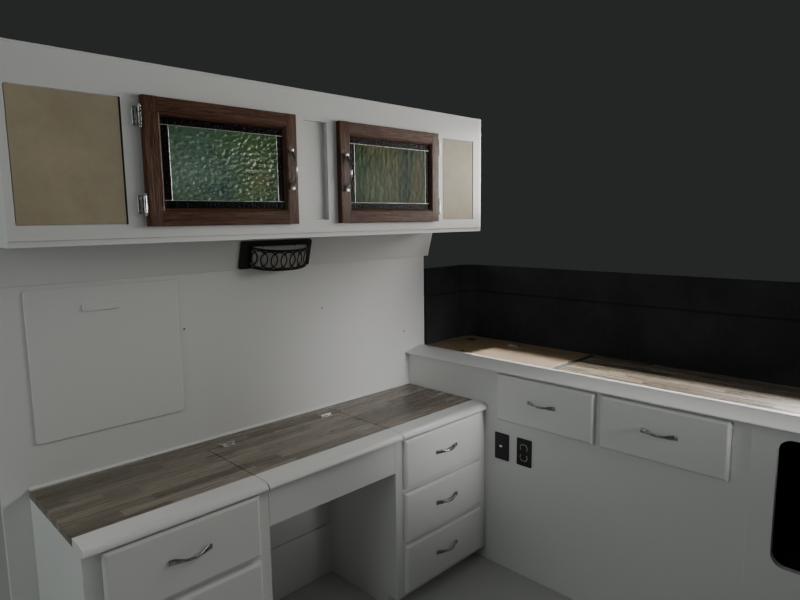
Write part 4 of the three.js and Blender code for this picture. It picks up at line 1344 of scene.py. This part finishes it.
def whiteBeads():  # quarter round behind the vanity top, thin crown on the locker
    topLow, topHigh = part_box("vanity_top")
    caseLow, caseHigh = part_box("locker_case")
    size, steps = trim["bead"], trim["beadSteps"]
    turns = [math.pi / 2 * k / steps for k in range(steps + 1)]
    quarter = [(0.0, 0.0)] + [(size * math.cos(turn), size * math.sin(turn)) for turn in turns]
    bead = [(corner.y - jointGap - a, topHigh.z + trim["beadLift"] + b) for a, b in quarter]
    crown = [(caseLow.y - proud, caseHigh.z - down) for proud, down in trim["crown"]]
    shapes = [sweepShape(bead, (topLow.x, topHigh.x), "X"),
              sweepShape(crown, (caseLow.x, caseHigh.x - trim["crownEnd"]), "X")]
    addPiece("whiteBeads", shapes, whitePaint, "root", angle=50)


def panelScrews():
    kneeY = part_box("kneehole_back_panel")[0].y - trim["screwSeat"] * mm
    shapes = []
    for x, height, out in trim["kneeScrews"]:
        spot = at(x, 0, height)
        shapes.append(screwShape((spot.x, kneeY - out * mm, spot.z), (0, -1, 0), "cap"))
    for x, height in trim["panelScrews"]:
        shapes.append(screwShape(at(x, -trim["screwSeat"], height), (0, -1, 0), "panel"))
    addPiece("panelScrews", shapes, chrome, "root", angle=45)


def jointAndShadowStrips():  # in the joint of the tan lid, and as painted shadow in the gap beside each locker insert
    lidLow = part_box("side_lid")[0]
    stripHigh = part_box("side_back_strip")[1]
    plankLow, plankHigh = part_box("side_top_planks")
    near, far = (Vector(offset) for offset in trim["topJoint"])
    shapes = [boardShape(Vector((plankLow.x, plankHigh.y, plankLow.z)) + near,
                         Vector((stripHigh.x, lidLow.y, plankHigh.z)) + far, trim["topEase"])]
    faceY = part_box("locker_case")[0].y
    near, far = (Vector(offset) for offset in trim["insertGapShadow"])
    # painted shadow: a black strip in the gap beside each locker insert, where the gap falls in shade
    for side in ("left", "right"):
        low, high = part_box(f"locker_insert_{side}")
        shapes.append(boardShape(Vector((high.x, faceY, low.z)) + near, high + far, trim["insertEase"]))
    addPiece("jointAndShadowStrips", shapes, blackLining, "root")


def lidLatch():  # finger latch in the tan lid
    place = at(*trim["latch"], sideTopHeight / mm)
    addPiece("lidFingerLatch", [spunShape(trim["latchRing"], place, (0, 0, 1), trim["latchSides"])],
             blackPlastic, "side_lid", angle=45)


whiteBeads()
panelScrews()
jointAndShadowStrips()
lidLatch()
print("trim ready")


# Camera at the photograph's place

photoView = {"place": (-1996.6, -1971.1, 1474.5), "yaw": 44.65, "pitch": 7.61, "roll": -0.76,
             "focal": 605.2, "imageWidth": 800, "sensor": 36.0, "clipStart": 0.05}


def addCamera():
    yaw, pitch, roll = (math.radians(photoView[key]) for key in ("yaw", "pitch", "roll"))
    forward = Vector((math.sin(yaw) * math.cos(pitch), math.cos(yaw) * math.cos(pitch), -math.sin(pitch)))
    right = Vector((math.cos(yaw), -math.sin(yaw), 0))
    up = right.cross(forward)
    across = right * math.cos(roll) + up * math.sin(roll)
    rise = up * math.cos(roll) - right * math.sin(roll)
    data = bpy.data.cameras.new("photoCamera")
    data.sensor_width = photoView["sensor"]
    data.sensor_fit = "HORIZONTAL"
    data.lens = photoView["sensor"] * photoView["focal"] / photoView["imageWidth"]
    data.clip_start = photoView["clipStart"]
    camera = bpy.data.objects.new("photoCamera", data)
    turn = Matrix((across, rise, -forward)).transposed().to_4x4()
    camera.matrix_world = Matrix.Translation(at(*photoView["place"])) @ turn
    bpy.context.scene.collection.objects.link(camera)
    bpy.context.scene.camera = camera


studio = {
    "floor": (0.55, 0.55, 0.535), "floorMottle": 0.96, "mottleScale": 3.0, "floorRoughness": 0.7,
    "floorSize": 14.0, "floorHeight": -0.5 * mm, "world": (0.86, 0.92, 0.90), "worldStrength": 0.028,
}
lamps = [
    # name, place from the corner in mm, aimed along, width, height, watts, spread in degrees, colour
    ("sideStrip", (600, -1350, 1465), (-1, 0, -1.0), 2.0, 0.27, 0.6, 130, (1.0, 0.98, 0.95)),
    ("sideGrazing", (430, -1220, 914), (-0.99, 0, -0.125), 1.85, 0.02, 2.6, 13, (1.0, 0.97, 0.93)),
    ("sideSheet", (480, -1300, 1690), (-1, 0, 0.0), 2.0, 0.4, 16, 124, (1.0, 0.97, 0.92)),
    ("endSheet", (300, -2890, 1350), (-0.6, 1.4, 0.0), 0.8, 0.5, 2.0, 150, (1.0, 1.0, 1.0)),
    ("cornerGlow", (-90, -2300, 1180), (-0.02, 1, -0.2), 0.3, 0.4, 0.9, 35, (1.0, 0.98, 0.97)),
    ("frontFill", (-3200, -500, 1500), (3100, -400, -900), 1.6, 1.4, 11.5, 180, (0.93, 1.0, 0.97)),
    ("topFill", (-1200, -1600, 2400), (0.2, 0.4, -1), 1.4, 1.4, 1.7, 180, (0.96, 1.0, 0.98)),
    ("backFill", (-800, 2800, 2200), (0, -2, -1), 2.0, 2.0, 14, 180, (0.95, 1.0, 0.98)),
    ("rightFill", (3300, -1200, 900), (-1, 0, 0), 2.0, 1.4, 8, 180, (0.95, 1.0, 0.98)),
]


def addFloor():
    half = studio["floorSize"] / 2
    corners = [(-half, -half, 0), (half, -half, 0), (half, half, 0), (-half, half, 0)]
    floor = meshPiece("studioFloor", [(corners, [[0, 1, 2, 3]])])
    material, tree, shader = newMaterial("studioFloor")
    tone = tuple(part * studio["floorMottle"] for part in studio["floor"])
    mottle = noiseNode(tree, ownPlace(tree), studio["mottleScale"], 4.0)
    plug(tree, shader.inputs, {
        "Base Color": mixColor(tree, mottle, studio["floor"], tone), "Roughness": studio["floorRoughness"],
    })
    floor.data.materials.append(material)
    floor.location.z = studio["floorHeight"]


def addLights():
    world = bpy.data.worlds.new("studioWorld")
    world.use_nodes = True
    background = world.node_tree.nodes["Background"]
    background.inputs["Color"].default_value = (*studio["world"], 1.0)
    background.inputs["Strength"].default_value = studio["worldStrength"]
    bpy.context.scene.world = world
    for name, place, aim, width, height, watts, spread, color in lamps:
        data = bpy.data.lights.new(name, "AREA")
        data.shape = "RECTANGLE"
        data.size, data.size_y = width, height
        data.energy = watts
        data.spread = math.radians(spread)
        data.color = color
        lamp = bpy.data.objects.new(name, data)
        lamp.location = at(*place)
        lamp.rotation_euler = Vector(aim).to_track_quat("-Z", "Y").to_euler()
        lamp.visible_camera = False
        bpy.context.scene.collection.objects.link(lamp)


addCamera()
addFloor()
addLights()
print("camera, floor and lights ready")

bpy.context.view_layer.update()
